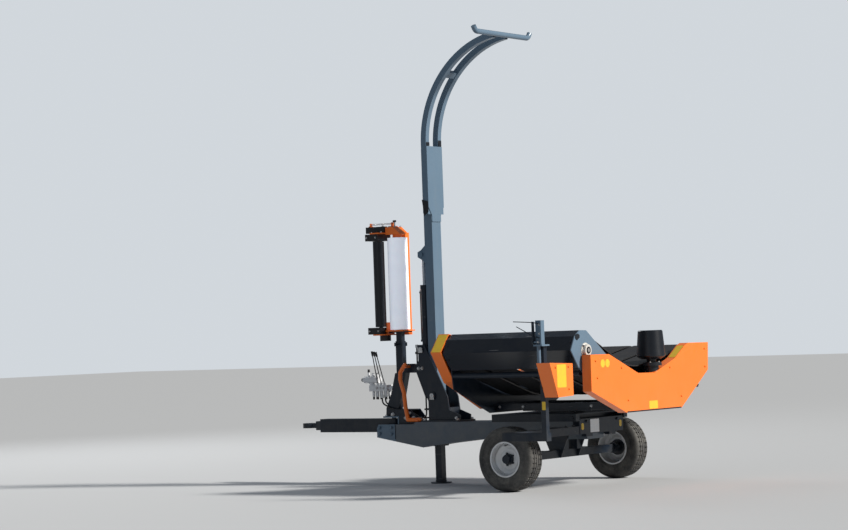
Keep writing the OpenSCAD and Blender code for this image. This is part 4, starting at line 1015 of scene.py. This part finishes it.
# %% Brake lever, spring and end caps
COILS, COIL_STEPS, COIL_R = 22, 10, 0.0065
b = Bench("dispenser_small_parts", "dispenser", "orange_paint")
top, _ = seat("dispenser_frame", (1.60, 0.0, 2.4), DOWN)
bar, _ = seat("stretch_blocks", (1.80, 0.041, 2.4), DOWN)
for seated, low, high, round_by in (
        (top, (-0.030, -0.020, 0.0), (0.030, 0.020, 0.008), 0.002),
        (top, (0.006, -0.018, 0.008), (0.012, 0.018, 0.040), 0.001),
        (bar, (-0.012, -0.018, 0.0), (0.012, 0.018, 0.006), 0.001),
        (bar, (-0.003, -0.014, 0.006), (0.003, 0.014, 0.030), 0.001)):
    b.block(seated + Vector(low), seated + Vector(high), round_by=round_by)
stem = top + Vector((-0.012, 0, 0))
b.rod(stem + UP * 0.008, stem + UP * 0.046, 0.006, finish="zinc_steel")
b.turned([(HAIR, 0), (0.013, 0), (0.015, 0.004), (0.015, 0.012), (0.013, 0.016), (HAIR, 0.016)],
         stem + UP * 0.040, UP, 20, "black_plastic")
start, end = top + Vector((0.012, 0, 0.030)), bar + UP * 0.020
coil = []
for k in range(COILS * COIL_STEPS + 1):
    turn = math.tau * k / COIL_STEPS
    across = COIL_R * Vector((0, math.cos(turn), math.sin(turn)))
    coil.append(start.lerp(end, k / (COILS * COIL_STEPS)) + across)
b.bent(coil, 0.0014, 5, "zinc_steel")
b.done()
for letter, x, y in (("a", 1.700, 0.090), ("b", 1.750, 0.005)):
    b = Bench(f"stretch_caps_{letter}", f"stretch_roller_{letter}", "zinc_steel")
    for z, way in ((1.976, 1), (1.276, -1)):
        b.turned([(0.012, -0.004), (0.0396, -0.004), (0.0396, -0.001), (0.036, 0.0012),
                  (0.012, 0.0012)], (x, y, z), (0, 0, way), 40)
    b.done()

# %% [markdown]
# ## Valve bank fittings
# Under each section of the bank stand two hexagon ports with black dust caps, except where the
# mast's pipes are screwed in. Hexagon plugs close the spools at both flanks.

# %% Plugs and caps
PORT_PITCH, PLUG_PITCH = 0.043, 0.034
b = Bench("valve_fittings", "chassis", "zinc_steel")
for k in (0, 2, 3):
    for side in (1, -1):
        place = Vector((1.716 + PORT_PITCH * k, 0.022 * side, 0.716))
        b.rod(place, place - UP * 0.012, 0.0105, sides=6)
        b.rod(place - UP * 0.012, place - UP * 0.034, 0.0085, sides=16, finish="black_plastic")
for k in range(3):
    for side, way in FLANKS:
        place, normal = seat("valve_block", (1.722 + PLUG_PITCH * k, 0.3 * side, 0.775), way)
        if place is not None:
            b.rod(place - normal * 0.001, place + normal * 0.008, 0.010, sides=6)
            b.rod(place + normal * 0.008, place + normal * 0.010, 0.0085, 0.007, 6)
for x in (1.819, 1.863):
    b.rod((x, 0, 0.889), (x, 0, 0.900), 0.0115, sides=6)
b.rod((1.907, 0, 0.906), (1.907, 0, 0.930), 0.011, 0.009, 20, "black_plastic")
b.turned([(HAIR, 0), (0.0155, 0), (0.0155, 0.010), (0.013, 0.013), (HAIR, 0.013)],
         (1.965, 0, 0.844), AHEAD, 24, "black_plastic")
b.done()

# %% [markdown]
# ## Tyre valves
# A tyre valve stands in each rim: a rubber stem and its cap, leaning a little with the dish.

# %% Valve stems and caps
VALVE_R = 0.108
for hand, side in (("left", 1), ("right", -1)):
    b = Bench(f"wheel_details_{hand}", f"wheel_{hand}", "black_rubber")
    foot, _ = seat(f"rim_{hand}", (0.0, 1.2 * side, AXLE_Z + VALVE_R), (0, -side, 0))
    if foot is not None:
        neck, tip = Vector((0, 0.026 * side, -0.004)), Vector((0, 0.036 * side, -0.0055))
        b.rod(foot, foot + neck, 0.0048, 0.0036, 14)
        b.rod(foot + neck, foot + tip, 0.0042, 0.0040, 10)
    b.done()

# %% [markdown]
# ## Close
# The last cell prints the shots that missed.

# %% Print the shots that missed
print("shots that missed", missed)
